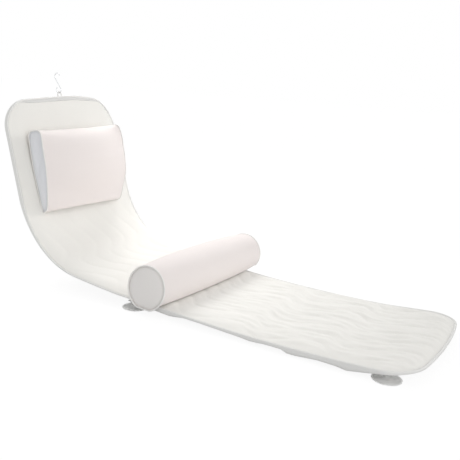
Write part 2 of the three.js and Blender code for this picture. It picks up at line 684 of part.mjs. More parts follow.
// An S of wire in the X-Z plane: an upper arc that opens forwards, a slanted stem and a lower arc that
// closes round the loop. It leans back about the cord that holds it.
class HookCurve extends THREE.Curve {
  constructor(held) {
    super();
    this.held = held;
    this.upperTurn = Math.PI + HOOK_STEM_ANGLE - rad(HOOK_UPPER_TIP);
    this.lowerTurn = 2 * Math.PI + HOOK_STEM_ANGLE - rad(HOOK_LOWER_TIP);
    this.upperRun = HOOK_UPPER_RADIUS * this.upperTurn;
    this.stemRun = (HOOK_UPPER_RADIUS + HOOK_LOWER_RADIUS) / Math.tan(HOOK_STEM_ANGLE);
    this.lowerRun = HOOK_LOWER_RADIUS * this.lowerTurn;
  }

  // The lower arc's centre is the origin of the flat S.
  flatPoint(run) {
    const upper = new THREE.Vector2(0, HOOK_SPACING);
    const onArc = (centre, radius, angle) => {
      return new THREE.Vector2(Math.cos(angle), Math.sin(angle)).multiplyScalar(radius).add(centre);
    };
    if (run <= this.upperRun) {
      return onArc(upper, HOOK_UPPER_RADIUS, rad(HOOK_UPPER_TIP) + run / HOOK_UPPER_RADIUS);
    }
    const past = run - this.upperRun - this.stemRun;
    if (past >= 0) {
      return onArc(new THREE.Vector2(), HOOK_LOWER_RADIUS, HOOK_STEM_ANGLE - past / HOOK_LOWER_RADIUS);
    }
    const stemFoot = onArc(new THREE.Vector2(), HOOK_LOWER_RADIUS, HOOK_STEM_ANGLE);
    const up = new THREE.Vector2(-Math.sin(HOOK_STEM_ANGLE), Math.cos(HOOK_STEM_ANGLE));
    return stemFoot.addScaledVector(up, -past);
  }

  getPoint(t) {
    const flat = this.flatPoint(t * (this.upperRun + this.stemRun + this.lowerRun));
    const hang = LOOP_CORD_RADIUS + HOOK_WIRE_RADIUS + GAP;
    flat.y += HOOK_LOWER_RADIUS - hang;
    flat.rotateAround(new THREE.Vector2(), rad(HOOK_LEAN));
    return new THREE.Vector3(this.held.x + flat.x, this.held.y, this.held.z + flat.y);
  }
}

function addHook() {
  const held = backPoint(MAT_LENGTH + LOOP_RISE, 0, LOOP_DEPTH);
  addMesh("s_hook", cordGeometry(new HookCurve(held), HOOK_WIRE_RADIUS, HOOK_STEPS), "steel");
}

addMat();
addCups();
addPillow();
addBolster();
addHangingLoop();
addHook();

// The part stands on its cups, with the origin under the middle of its box.
const box = new THREE.Box3().setFromObject(assembly, true);
const middle = box.getCenter(new THREE.Vector3());
assembly.position.set(-middle.x, -middle.y, -box.min.z);

const part = new THREE.Group();
part.add(assembly);

export default part;
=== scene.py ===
# %% [markdown]
# # A full-body bath pillow
# The object is a long quilted mesh mat that lies in a tub and bends up its end wall. A head pillow and a
# bolster cling to it with hook tape, suction cups hold it from below, and a steel hook hangs it up to dry.
# Its frame is an assembly of plain solids. This lesson dresses that frame, one piece at a time.

# %% Load the frame
import json
import math

import bmesh
import bpy
import numpy as np
from mathutils import Matrix, Vector, noise


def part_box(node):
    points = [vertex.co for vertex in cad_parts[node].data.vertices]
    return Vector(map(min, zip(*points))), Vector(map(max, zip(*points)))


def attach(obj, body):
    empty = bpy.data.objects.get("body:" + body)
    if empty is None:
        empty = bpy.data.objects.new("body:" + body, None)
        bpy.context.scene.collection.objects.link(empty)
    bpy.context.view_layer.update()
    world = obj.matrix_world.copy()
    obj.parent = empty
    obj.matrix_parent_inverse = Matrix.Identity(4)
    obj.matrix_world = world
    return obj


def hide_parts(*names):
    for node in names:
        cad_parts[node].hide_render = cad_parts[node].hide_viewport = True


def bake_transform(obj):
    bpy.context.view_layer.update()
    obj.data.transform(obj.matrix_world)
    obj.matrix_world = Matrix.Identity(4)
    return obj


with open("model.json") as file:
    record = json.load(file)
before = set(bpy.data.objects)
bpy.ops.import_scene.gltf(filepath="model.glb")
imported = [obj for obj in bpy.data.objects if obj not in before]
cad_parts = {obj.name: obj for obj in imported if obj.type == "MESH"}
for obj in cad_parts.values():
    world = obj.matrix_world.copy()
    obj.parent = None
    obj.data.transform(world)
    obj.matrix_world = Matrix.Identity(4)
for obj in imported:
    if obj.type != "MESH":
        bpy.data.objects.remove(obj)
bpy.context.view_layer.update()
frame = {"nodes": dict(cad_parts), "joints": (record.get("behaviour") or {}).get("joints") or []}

# %% [markdown]
# ## The line that the mat follows
# Seen from the side, the mat is a strip that follows one line: a shallow dish from the foot end, a tight bend
# and a straight back. Every cloth piece could be modelled flat and bent by modifiers, but a bend chain is
# hard to aim. Here one function turns "this far from the foot end, this far across, this high over the edge"
# into a point, so all pieces agree. The fold's hinge in the frame tells where that line lies.

# %% The mat's profile
MAT_WIDTH = 0.380
DISH_LENGTH = 0.769
BEND_RADIUS = 0.202
BACK_LENGTH = 0.251
FOOT_SLOPE, SEAT_SLOPE, BACK_SLOPE = (math.radians(angle) for angle in (-4.56, 6.7, 73.7))
BEND_LENGTH = BEND_RADIUS * (BACK_SLOPE - SEAT_SLOPE)
BACK_START = DISH_LENGTH + BEND_LENGTH
MAT_LENGTH = BACK_START + BACK_LENGTH
STRETCHES = (
    (DISH_LENGTH, FOOT_SLOPE, SEAT_SLOPE),
    (BEND_LENGTH, SEAT_SLOPE, BACK_SLOPE),
    (BACK_LENGTH * 2, BACK_SLOPE, BACK_SLOPE),
)
FOLD_STATION, FOLD_HEIGHT = 0.300, 0.005


def profile(s):
    """x, z and heading of the profile at distances s from the foot end."""
    left = np.asarray(s, float)
    short = np.minimum(left, 0)
    x, z = -short * math.cos(FOOT_SLOPE), short * math.sin(FOOT_SLOPE)
    heading = np.full_like(left, FOOT_SLOPE)
    for length, start, end in STRETCHES:
        run = np.clip(left, 0, length)
        turned = start + (end - start) * run / length
        if end == start:
            x, z = x - run * math.cos(start), z + run * math.sin(start)
        else:
            radius = length / (end - start)
            x = x - radius * (np.sin(turned) - math.sin(start))
            z = z + radius * (math.cos(start) - np.cos(turned))
        heading = np.where(left > 0, turned, heading)
        left = left - run
    return x, z, heading


def from_foot_end(place, y, h):
    """Points y across and h over places of a profile."""
    x, z, heading = place
    return np.stack(np.broadcast_arrays(x + h * np.sin(heading), y, z + h * np.cos(heading)), axis=-1)


FOLD = next(joint for joint in frame["joints"] if joint["name"] == "foot_fold")
FOOT_END = np.array(FOLD["pos_m"]) - from_foot_end(profile(FOLD_STATION), 0, FOLD_HEIGHT)


def over(place, y, h):
    """The same points in the frame's space."""
    return from_foot_end(place, y, h) + FOOT_END


def on_mat_normal(s):
    """The direction out of the mat's top at a distance from the foot end."""
    heading = profile(s)[2]
    return np.array([math.sin(heading), 0, math.cos(heading)])


BACK_OUT = on_mat_normal(MAT_LENGTH)
print("foot end at", FOOT_END.round(4), "mat length", round(MAT_LENGTH, 4))

# %% [markdown]
# ## Soft ends and edges
# A mat of cloth isn't a board. Its head edge sags towards both corners, and the far corner draws in. Its foot
# end bows, and its long edges hang a little. A lattice could push the finished meshes about, but then each
# seam would have to be pushed alike. Here these moves are part of the function that places points.

# %% Points of the mat
HEAD_SAG_NEAR, HEAD_SAG_FAR, HEAD_PEAK = 0.020, 0.019, 0.050
HEAD_DRAW = 0.011
FOOT_BOW, FOOT_BULGE = 0.018, 0.008
BOW_REACH = 0.22
EDGE_ROLL, ROLL_WIDTH = 0.0045, 0.035
NEAR_ROLL_START, FAR_ROLL_START, ROLL_END = (0.56, 0.66), (0.05, 0.20), (0.82, 0.96)


def smooth(value, low, high):
    """0 below low, 1 above high, and an even S between them."""
    share = np.clip((np.asarray(value, float) - low) / (high - low), 0, 1)
    return share * share * (3 - 2 * share)


def at_head(s):
    return smooth(s, MAT_LENGTH - BOW_REACH, MAT_LENGTH)


def end_shift(s, y):
    """How far the soft ends of the mat move along it: the foot end bows out, the head edge sags."""
    y = np.asarray(y, float)
    side = MAT_WIDTH / 2
    near = HEAD_SAG_NEAR * np.clip((HEAD_PEAK - y) / (side + HEAD_PEAK), 0, None) ** 1.3
    far = HEAD_SAG_FAR * np.clip((y - HEAD_PEAK) / (side - HEAD_PEAK), 0, None) ** 2
    foot = FOOT_BOW * (y / side) ** 2 - FOOT_BULGE
    return (1 - smooth(s, 0, BOW_REACH)) * foot - at_head(s) * (near + far)


def edge_roll(s, y):
    """How far the soft edges hang down: both along the seat, and the far one at the foot too."""
    inside = (MAT_WIDTH / 2 - np.abs(y)) / ROLL_WIDTH
    start = np.where(np.asarray(y) > 0, smooth(s, *FAR_ROLL_START), smooth(s, *NEAR_ROLL_START))
    return EDGE_ROLL * start * (1 - smooth(s, *ROLL_END)) * np.clip(1 - inside, 0, None) ** 2


def on_mat(s, y, h):
    """Points of the mat, s from its foot end, y across it and h over its edge line."""
    drawn = HEAD_DRAW * at_head(s) * np.clip(2 * y / MAT_WIDTH, 0, 1) ** 3
    return over(profile(s + end_shift(s, y)), y - drawn, h - edge_roll(s, y))


print("foot end, middle:", on_mat(0, 0, 0).round(4), "head edge, middle:", on_mat(MAT_LENGTH, 0, 0).round(4))

# %% [markdown]
# ## The camera
# The camera stands where it stood for the picture: a little above the back, on the near side of the foot.
# Its place was worked out from the mat's corners, whose real distances are known.

# %% Place the camera
CAMERA_FROM_FOOT = (0.1869, -1.1723, 0.4427)
CAMERA_AZIMUTH, CAMERA_ELEVATION, CAMERA_ROLL = (math.radians(angle) for angle in (29.83, 12.77, 4.04))
IMAGE_WIDTH = 460
FOCAL_PIXELS = 620
SENSOR_WIDTH = 36


def add_object(name, data):
    added = bpy.data.objects.new(name, data)
    bpy.context.scene.collection.objects.link(added)
    return added


lens = bpy.data.cameras.new("camera")
lens.sensor_width = SENSOR_WIDTH
lens.lens = FOCAL_PIXELS / IMAGE_WIDTH * SENSOR_WIDTH
camera = add_object("camera", lens)
turn = Matrix.Rotation(CAMERA_AZIMUTH, 4, "Z") @ Matrix.Rotation(math.pi / 2 - CAMERA_ELEVATION, 4, "X")
turn = turn @ Matrix.Rotation(CAMERA_ROLL, 4, "Z")
camera.matrix_world = Matrix.Translation(Vector(FOOT_END) + Vector(CAMERA_FROM_FOOT)) @ turn
bpy.context.scene.camera = camera
print("camera at", [round(v, 3) for v in camera.location], "lens", round(lens.lens, 2))

# %% [markdown]
# ## Wiring shader nodes
# A finish is a small net of nodes. It could be drawn by hand in the shader editor, but then the script
# wouldn't hold it. Wired one line at a time, the finishes would fill pages. So one class holds a net and has
# a short word for each step: a sum, a wave of a flat coordinate, a noise, a mixed colour.

# %% A class for nets of nodes


class Shading:
    """The nodes of a material or a world."""

    def __init__(self, owner):
        owner.use_nodes = True
        self.owner = owner
        self.nodes, self.links = owner.node_tree.nodes, owner.node_tree.links

    def feed(self, socket, value):
        """Wires a socket to another one, or sets its number or colour."""
        if isinstance(value, bpy.types.NodeSocket):
            self.links.new(value, socket)
        elif value is not None:
            socket.default_value = (*value, 1) if isinstance(value, tuple) else value

    def node(self, kind, inputs=(), **settings):
        made = self.nodes.new("ShaderNode" + kind)
        for name, value in settings.items():
            setattr(made, name, value)
        for key, value in dict(inputs).items():
            self.feed(made.inputs[key], value)
        return made

    def calc(self, operation, first, second=None):
        return self.node("Math", {0: first, 1: second}, operation=operation).outputs[0]

    def ranged(self, value, low, high, to_low=0, to_high=1):
        """A value moved from one range to another, and kept inside it."""
        ends = {"From Min": low, "From Max": high, "To Min": to_low, "To Max": to_high}
        return self.node("MapRange", {"Value": value, **ends}).outputs[0]

    def flat(self, layer="flat"):
        """The two flat coordinates of the cloth."""
        uv = self.node("UVMap", uv_map=layer).outputs["UV"]
        parts = self.node("SeparateXYZ", {0: uv}).outputs
        return parts["X"], parts["Y"]

    def ripple(self, coordinate, pitch):
        """A cosine of one flat coordinate, with its waves a pitch apart."""
        return self.calc("COSINE", self.calc("MULTIPLY", coordinate, 2 * math.pi / pitch))

    def cloud(self, scale, detail=3):
        """Noise in the piece's own space."""
        place = self.node("TexCoord").outputs["Object"]
        return self.node("TexNoise", {"Vector": place, "Scale": scale, "Detail": detail}).outputs["Fac"]

    def spread(self, cloud, to_low=0, to_high=1):
        """Noise drawn out to a full range, since most of it lies about its middle."""
        return self.ranged(cloud, 0.3, 0.7, to_low, to_high)

    def mixed(self, share, first, second):
        """A colour between two others."""
        return self.node("Mix", {"Factor": share, 6: first, 7: second}, data_type="RGBA").outputs[2]

    def finish(self, bump=None, **inputs):
        """Feeds the surface shader, with the inputs of a bump if there is one, and gives the material."""
        surface = self.nodes["Principled BSDF"].inputs
        if bump is not None:
            self.feed(surface["Normal"], self.node("Bump", bump).outputs[0])
        for name, value in inputs.items():
            self.feed(surface[name.replace("_", " ")], value)
        return self.owner

    def split_by_ray(self, lit, shown, output):
        """Shows one shader to camera, mirror and see-through rays, and lights with the other."""
        path = self.node("LightPath").outputs
        seen = path["Is Camera Ray"]
        for name in ("Is Glossy Ray", "Is Transmission Ray"):
            seen = self.calc("MAXIMUM", seen, path[name])
        mix = self.node("MixShader", {0: seen, 1: lit.outputs[0], 2: shown.outputs[0]})
        self.feed(self.nodes[output].inputs["Surface"], mix.outputs[0])


def new_shading(name):
    return Shading(bpy.data.materials.new(name))


print("node helpers:", [name for name in vars(Shading) if not name.startswith("_")])

# %% [markdown]
# ## Light and floor
# White cloth on white needs light from one side, or its forms vanish. The key lamp hangs behind the head on
# the far side, so what faces the camera falls into soft shade. A weak lamp lights the top of the back, and
# one low beside the foot grazes its wrinkles. A broad one beyond the foot keeps the shade open. The floor
# reflects like pale paint for all light that reaches the object. Only the camera and mirror-like surfaces
# see it as white, with a faint shadow.

# %% Set the light and the floor
bpy.context.scene.view_settings.view_transform = "Standard"
SKY_LEVEL, SKY_COLOUR = 0.70, (1.0, 1.0, 1.0)
LAMP_COLOUR = (1.0, 0.985, 0.965)
LAMPS = {
    "key": dict(place=(-0.72, 0.68, 0.95), aim=(-0.10, -0.04, 0.05), size=0.6, power=1.26, spread=62),
    "head": dict(place=(0.15, 1.0, 0.75), aim=(-0.46, 0.0, 0.27), size=0.5, power=0.28, spread=44),
    "rake": dict(place=(0.55, 1.35, 0.45), aim=(0.17, 0.0, 0.02), size=0.4, power=0.17, spread=38),
    "fill": dict(place=(3.2, -1.2, 0.7), aim=(-0.1, 0.0, 0.2), size=2.2, power=25, spread=180),
}
FLOOR_SIZE = 60
FLOOR_PAINT, FLOOR_FAINT, FLOOR_GLOW = (0.8, 0.8, 0.8), (0.14, 0.14, 0.14), 0.905


def light_world():
    world = bpy.data.worlds.new("studio")
    sky = Shading(world)
    lit = sky.nodes["Background"]
    sky.feed(lit.inputs["Color"], SKY_COLOUR)
    sky.feed(lit.inputs["Strength"], SKY_LEVEL)
    sky.split_by_ray(lit, sky.node("Background", {"Color": SKY_COLOUR}), "World Output")
    bpy.context.scene.world = world


def add_lamp(name, place, aim, size, power, spread):
    lamp = bpy.data.lights.new(name, "AREA")
    lamp.shape = "DISK"
    lamp.size, lamp.energy, lamp.spread = size, power, math.radians(spread)
    lamp.color = LAMP_COLOUR
    stand = add_object(name, lamp)
    stand.location = place
    stand.rotation_euler = (Vector(aim) - Vector(place)).to_track_quat("-Z", "Y").to_euler()


def floor_finish():
    floor = new_shading("floor_paint")
    floor.nodes.remove(floor.nodes["Principled BSDF"])
    paint, faint = (floor.node("BsdfDiffuse", {"Color": colour}) for colour in (FLOOR_PAINT, FLOOR_FAINT))
    glow = floor.node("Emission", {"Strength": FLOOR_GLOW})
    shown = floor.node("AddShader", {0: faint.outputs[0], 1: glow.outputs[0]})
    floor.split_by_ray(paint, shown, "Material Output")
    return floor.owner


def add_floor():
    mesh = bpy.data.meshes.new("floor")
    half = FLOOR_SIZE / 2
    corners = [(-half, -half, 0), (half, -half, 0), (half, half, 0), (-half, half, 0)]
    mesh.from_pydata(corners, [], [(0, 1, 2, 3)])
    mesh.materials.append(floor_finish())
    floor = add_object("floor", mesh)


light_world()
for name, settings in LAMPS.items():
    add_lamp(name, **settings)
add_floor()
print("sky", SKY_LEVEL, "lamps", list(LAMPS))

# %% [markdown]
# ## Cloth finishes
# The mat, the pillow and the bolster are knitted air mesh: white threads round rows of small holes. A picture
# texture would do, but a formula on the cloth's own flat coordinates has no edges and keeps its scale. Two
# crossed cosines make the rows of holes, a fine noise roughens the thread, and a broad noise lets the white
# wander a little, as washed cloth does. The same pattern drives the bump, so holes look sunk.

# %% Knitted mesh
SEWN_FADE = (0.62, 0.84)
GROOVE_WIDTH, GROOVE_PRESS_AND_SHADE = 0.10, 0.45
DASH_PITCH, DASH_RANGE, THREAD_RANGE, THREAD_RISE = 0.0052, (-0.5, 0.1), (0.014, 0.006), 1.5
HOLE_STRETCH, HOLE_RANGE = 1.3, (-0.2, -1.6)
FUZZ_RISE = 0.35


def toned(colour, share):
    return tuple(part * share for part in colour)


def sewn_lines(cloth):
    """How far a point sinks towards a sewn line, and how much of it is a stitch."""
    channel, along = cloth.flat("channel")
    off = cloth.calc("ABSOLUTE", cloth.calc("SUBTRACT", channel, cloth.calc("ROUND", channel)))
    faded = cloth.ranged(along, *SEWN_FADE, 1, 0)
    groove = cloth.calc("MULTIPLY", faded, cloth.ranged(off, GROOVE_WIDTH, 0))
    dash = cloth.ranged(cloth.ripple(along, DASH_PITCH), *DASH_RANGE)
    thread = cloth.calc("MULTIPLY", dash, cloth.ranged(off, *THREAD_RANGE))
    return groove, cloth.calc("MULTIPLY", faded, thread)


def knit(name, light, deep, pitch, hole_depth, sheen=0.25, sewn=False):
    """Knitted mesh: light thread, deep holes, a pitch apart."""
    cloth = new_shading(name)
    across, along = cloth.flat()
    rows = cloth.calc("ADD", cloth.ripple(across, pitch), cloth.ripple(along, pitch * HOLE_STRETCH))
    holes = cloth.ranged(rows, *HOLE_RANGE)
    thread = cloth.mixed(cloth.spread(cloth.cloud(7)), light, toned(light, 0.972))
    colour = cloth.mixed(holes, thread, deep)
    fuzz = cloth.cloud(900, 2)
    height = cloth.calc("SUBTRACT", cloth.calc("MULTIPLY", fuzz, FUZZ_RISE), holes)
    # Along the sewn lines the colour darkens, partly as mesh pressed by the thread and partly as painted
    # shade in the grooves. Both fade out up the back.
    if sewn:
        groove, stitch = sewn_lines(cloth)
        shade = cloth.calc("MULTIPLY", cloth.calc("MULTIPLY", groove, groove), GROOVE_PRESS_AND_SHADE)
        colour = cloth.mixed(stitch, cloth.mixed(shade, colour, deep), light)
        height = cloth.calc("ADD", height, cloth.calc("MULTIPLY", stitch, THREAD_RISE))
    return cloth.finish(
        bump={"Height": height, "Strength": 0.35, "Distance": hole_depth},
        Base_Color=colour, Roughness=cloth.spread(fuzz, 0.78, 0.95),
        Sheen_Weight=sheen, Sheen_Roughness=0.45, Specular_IOR_Level=0.25,
    )


QUILT_KNIT = knit("quilt_knit", (0.915, 0.905, 0.87), (0.81, 0.80, 0.765), 0.0019, 0.0004, sewn=True)
BASE_KNIT = knit("base_knit", (0.86, 0.855, 0.835), (0.66, 0.655, 0.64), 0.0036, 0.0010)
COVER_KNIT = knit("cover_knit", (0.885, 0.83, 0.815), (0.79, 0.735, 0.72), 0.0015, 0.0003, sheen=0.15)
PANEL_KNIT = knit("panel_knit", (0.865, 0.842, 0.822), (0.775, 0.76, 0.74), 0.0015, 0.0003)
GUSSET_KNIT = knit("gusset_knit", (0.86, 0.875, 0.91), (0.74, 0.755, 0.79), 0.0019, 0.0005)
print("finishes with the knits:", len(bpy.data.materials))

# %% Woven tape


def woven(name, light, deep, rib, depth):
    """Woven tape: ribs across it with a fine thread along."""
    cloth = new_shading(name)
    across, along = cloth.flat()
    weave = cloth.calc("MULTIPLY", cloth.ripple(along, rib), cloth.ripple(across, rib * 0.6))
    thread = cloth.mixed(cloth.spread(cloth.cloud(12)), light, toned(light, 0.965))
    fuzz = cloth.cloud(1200, 2)
    return cloth.finish(
        bump={"Height": cloth.calc("ADD", weave, fuzz), "Strength": 0.4, "Distance": depth},
        Base_Color=cloth.mixed(cloth.ranged(weave, -1, 1), deep, thread),
        Roughness=cloth.spread(fuzz, 0.7, 0.92), Sheen_Weight=0.2, Specular_IOR_Level=0.3,
    )


EDGE_TAPE = woven("edge_tape", (0.90, 0.90, 0.88), (0.84, 0.84, 0.82), 0.0011, 0.00015)
# A greyer copy of the tape for the side of the lower rim: painted shade.
EDGE_SIDE_PAINTED_SHADE = woven("edge_side_painted_shade", (0.84, 0.84, 0.825), (0.76, 0.76, 0.745), 0.0016, 0.0003)
# The head strip's grey tape is painted shade along the head edge.
HEAD_TAPE_PAINTED_SHADE = woven("head_tape_painted_shade", (0.79, 0.79, 0.78), (0.72, 0.72, 0.71), 0.0012, 0.0002)
PIPING_TAPE = woven("piping_tape", (0.93, 0.92, 0.90), (0.86, 0.85, 0.83), 0.0010, 0.00015)
WEBBING = woven("webbing", (0.80, 0.80, 0.78), (0.62, 0.62, 0.60), 0.0022, 0.0005)
THREAD = woven("thread", (0.88, 0.88, 0.86), (0.78, 0.78, 0.76), 0.0008, 0.0001)
print("finishes with the tapes:", len(bpy.data.materials))

# %% [markdown]
# ## Making meshes from rows of points
# Most pieces here are rows of points joined by four-sided faces. A few small helpers do that: they join the
# rows, make the object with smooth shading and outward faces, lay the flat coordinates that the weave
# follows, in metres of cloth, and run a round tube along a path.

# %% Mesh helpers


def grid_faces(rows, columns, closed=False, start=0):
    """Faces of rows of points; a closed grid joins each row's last point to its first."""
    spans = columns if closed else columns - 1
    faces = []
    for i in range(rows - 1):
        a, b = start + i * columns, start + (i + 1) * columns
        for j in range(spans):
            k = (j + 1) % columns
            faces.append((a + j, a + k, b + k, b + j))
    return faces


def lay_flat(mesh, name, flat):
    """Gives each corner of a face the flat coordinates of its point."""
    corners = np.zeros(len(mesh.loops), np.int32)
    mesh.loops.foreach_get("vertex_index", corners)
    layer = mesh.uv_layers.new(name=name)
    layer.data.foreach_set("uv", flat[corners].astype(np.float32).ravel())


def make_piece(name, points, faces, finish, flat, channel=None):
    mesh = bpy.data.meshes.new(name)
    mesh.from_pydata(np.asarray(points).reshape(-1, 3).tolist(), [], faces)
    shaped = bmesh.new()
    shaped.from_mesh(mesh)
    bmesh.ops.recalc_face_normals(shaped, faces=shaped.faces)
    shaped.to_mesh(mesh)
    shaped.free()
    mesh.polygons.foreach_set("use_smooth", [True] * len(mesh.polygons))
    mesh.materials.append(finish)
    for layer, coordinates in (("flat", flat), ("channel", channel)):
        if coordinates is not None:
            lay_flat(mesh, layer, np.asarray(coordinates, float).reshape(-1, 2))
    return add_object(name, mesh)


def run_along(path):
    """The distance along a path at each of its points."""
    return np.concatenate([[0], np.cumsum(np.linalg.norm(np.diff(path, axis=0), axis=1))])


def end_faces(count, sides, start=0):
    """A face over the first and the last of some rings."""
    last = start + (count - 1) * sides
    return [tuple(range(start, start + sides)), tuple(range(last, last + sides))]


def swept(name, rings, finish, closed=False):
    """A tube through rings of points, either joined end to end or with a face over each end."""
    rings = np.asarray(rings)
    count, sides = rings.shape[:2]
    faces = grid_faces(count, sides, closed=True)
    last = (count - 1) * sides
    if closed:
        faces += [(last + j, last + (j + 1) % sides, (j + 1) % sides, j) for j in range(sides)]
    else:
        faces += end_faces(count, sides)
    along = run_along(rings.mean(axis=1))
    around = np.linalg.norm(rings[:, 1] - rings[:, 0], axis=1).mean() * np.arange(sides)
    flat = np.stack(np.broadcast_arrays(around[None, :], along[:, None]), axis=-1)
    return make_piece(name, rings, faces, finish, flat)


def unit(vectors):
    return vectors / np.linalg.norm(vectors, axis=-1, keepdims=True)


def circles(path, outward, sideways, radius, sides):
    """Circles of points about a path, in the planes of two directions."""
    angles = np.linspace(0, 2 * math.pi, sides, endpoint=False)[None, :, None]
    radius = np.broadcast_to(radius, (len(path),))[:, None, None]
    return path[:, None] + radius * (np.cos(angles) * outward[:, None] + np.sin(angles) * sideways[:, None])


def tube_rings(path, normals, radius, sides):
    """Rings of a round tube along a path, whose normals say which way its seam faces."""
    tangents = unit(np.gradient(path, axis=0))
    sideways = unit(np.cross(tangents, normals))
    return circles(path, np.cross(sideways, tangents), sideways, radius, sides)


print("mesh helpers ready")

# %% [markdown]
# ## The quilting
# Two layers of air mesh are sewn together in wavy lines, with soft filling between, so the top is a field of
# low wavy ridges that die out up the back. A cloth simulation of a mat this long would be slow and would
# bend it out of place, so the quilting is a formula: a rounded ridge between each two sewn lines, small
# puckers beside the stitches, fine wrinkles on the foot, and a slow noise that makes no two ridges alike.

# %% Quilting as a formula
FOOT_CORNER, HEAD_CORNER = 0.060, 0.070
CHANNEL_PITCH, WAVE_LENGTH, WAVE_SWING = 0.052, 0.165, 0.021
WAVE_START, WAVE_FALL = 0.0365, 0.68
RIDGES = ((0.28, 0.0024), (0.42, 0.0015), (DISH_LENGTH, 0.0015), (BACK_START, 0.0001))
RIDGE_POWER, RIDGE_WANDER = 3.6, 0.35
SEAM_WANDER = 0.004
PAD_CROWN, PAD_EDGE_DROP, CROWN_MARGIN = 0.0012, 0.0014, 0.030
PUCKER_PITCH, PUCKER_HEIGHT, PUCKER_REACH, PUCKER_WANDER = 0.014, 0.0004, 0.007, 5
PUCKER_FADE = (DISH_LENGTH - 0.02, BACK_START - 0.05)
STREAK_HEIGHT, STREAK_STRETCH, STREAK_SWING = 0.0027, 3.2, 0.6
STREAK_FADE = (0.30, 0.62)
NOISES = {"seam": (0.11, 3.1), "ridge": (0.07, 1.7), "pucker": (0.05, 9.4), "streak": (0.0115, 5.3)}
RIM_WIDTH = 0.0062
EDGE_DEPTHS = (
    (0.000, 0.0045), (0.060, 0.0085), (0.090, 0.0125), (0.120, 0.0162), (0.142, 0.0126), (0.178, 0.0104),
    (0.225, 0.0132), (0.240, 0.0130), (0.252, 0.0078), (0.285, 0.0074), (0.318, 0.0098), (0.345, 0.0076),
    (0.430, 0.0050), (0.470, 0.0054), (0.505, 0.0115), (0.560, 0.0110), (0.620, 0.0024), (0.860, 0.0024),
    (0.940, 0.0065), (1.005, 0.0100), (1.256, 0.0100),
)


def half_width(s, inset):
    """Half the mat's width, inset from its outline, at distances from the foot end."""
    side = MAT_WIDTH / 2
    width = np.full_like(np.asarray(s, float), side - inset)
    for radius, into in ((FOOT_CORNER, FOOT_CORNER - s), (HEAD_CORNER, HEAD_CORNER - (MAT_LENGTH - s))):
        reach = radius - inset
        corner = side - radius + np.sqrt(np.maximum(0, reach**2 - np.maximum(into, 0) ** 2))
        width = np.where(into > 0, corner, width)
    return width


def edge_depth(s):
    """How far the rim reaches down at a distance from the foot end."""
    return np.interp(s, *zip(*EDGE_DEPTHS))


def wander(s, y, what):
    """Noise between about -1 and 1 over the mat, of its own scale and seed for each use."""
    scale, seed = NOISES[what]
    flat = np.stack(np.broadcast_arrays(s, y), axis=-1).reshape(-1, 2)
    values = [noise.noise((a / scale, b / scale, seed)) for a, b in flat]
    return np.array(values).reshape(np.broadcast(s, y).shape)


def edge_distance(s, y):
    """How far a point of the mat lies inside the rim."""
    side = half_width(s, RIM_WIDTH) - np.abs(y)
    end = np.minimum(s, MAT_LENGTH - s) - RIM_WIDTH
    return np.minimum(side, end)


def seam_swing(s):
    """How far a sewn line swings to the far side: a slow fall, then a quick rise."""
    phase = (s - WAVE_START) / WAVE_LENGTH % 1
    fall = np.cos(math.pi * phase / WAVE_FALL)
    rise = -np.cos(math.pi * (phase - WAVE_FALL) / (1 - WAVE_FALL))
    return WAVE_SWING * np.where(phase < WAVE_FALL, fall, rise)


def from_seam(channel):
    """0 on a sewn line, 1 in the middle between two."""
    return 2 * np.abs(channel - np.round(channel))


def channel_at(s, y):
    """Which channel a point of the mat is in: whole numbers are sewn lines."""
    return (y - seam_swing(s) + SEAM_WANDER * wander(s, y, "seam")) / CHANNEL_PITCH


def quilt_height(s, y):
    """Height of the quilted top over the mat's edge line."""
    across = from_seam(channel_at(s, y))
    relief = np.interp(s, *zip(*RIDGES)) * (1 + RIDGE_WANDER * wander(s, y, "ridge"))
    ridge = relief * (1 - (1 - across) ** RIDGE_POWER)
    pucker = np.sin(2 * math.pi * s / PUCKER_PITCH + PUCKER_WANDER * wander(s, y, "pucker"))
    pucker = pucker * np.exp(-CHANNEL_PITCH / 2 * across / PUCKER_REACH) * (1 - smooth(s, *PUCKER_FADE))
    streak = wander(s / STREAK_STRETCH, y - STREAK_SWING * seam_swing(s), "streak")
    streak = STREAK_HEIGHT * (1 - smooth(s, *STREAK_FADE)) * streak
    rise = np.sin(math.pi / 2 * np.clip(edge_distance(s, y) / CROWN_MARGIN, 0, 1))
    drop = np.minimum(PAD_EDGE_DROP, 0.35 * edge_depth(s))
    return -drop + rise * (drop + PAD_CROWN + ridge + PUCKER_HEIGHT * pucker + streak)


print("quilting on the foot:", quilt_height(0.15, np.linspace(-0.1, 0.1, 5)).round(4))

# %% [markdown]
# ## The mat's top
# The mat is two pieces that meet under the bolster: the lower reaches over the fold, the upper over the bend.
# Each is a closed sheet, with fine rows on the side that shows. One mesh that bends in two places would need
# weights painted by hand.

# %% The quilted top
SPLIT = 0.566
MAT_DEPTH = 0.0110
ROW_STEP, COLUMNS = 0.0045, 109
CORNER_STEP = 3
LAYER_GAP = 0.0002
PAD_INSET = RIM_WIDTH - 0.001
FOLD_REACH = 0.02
PILLOW_LAP, BLEND_MARGIN = 0.036, 0.004
MAT_NODES = {"lower": ("foot", "fold", "seat"), "upper": ("seat", "bend", "back")}


def core_height(s):
    """Where the quilted top and the base panel meet at the rim."""
    return -0.5 * np.minimum(edge_depth(s), MAT_DEPTH)


def mat_rows(part):
    """Distances of a part's rows from the foot end, close together round its corners."""
    turned = np.cos(np.radians(np.arange(0, 90, CORNER_STEP)))
    if part == "lower":
        corner = FOOT_CORNER - (FOOT_CORNER - PAD_INSET) * turned
        straight = (FOOT_CORNER, SPLIT)
    else:
        corner = MAT_LENGTH - (HEAD_CORNER - (HEAD_CORNER - PAD_INSET) * turned)
        straight = (MAT_LENGTH - HEAD_CORNER, SPLIT)
    steps = round(abs(straight[1] - straight[0]) / ROW_STEP)
    return np.concatenate([corner, np.linspace(*straight, steps + 1)])


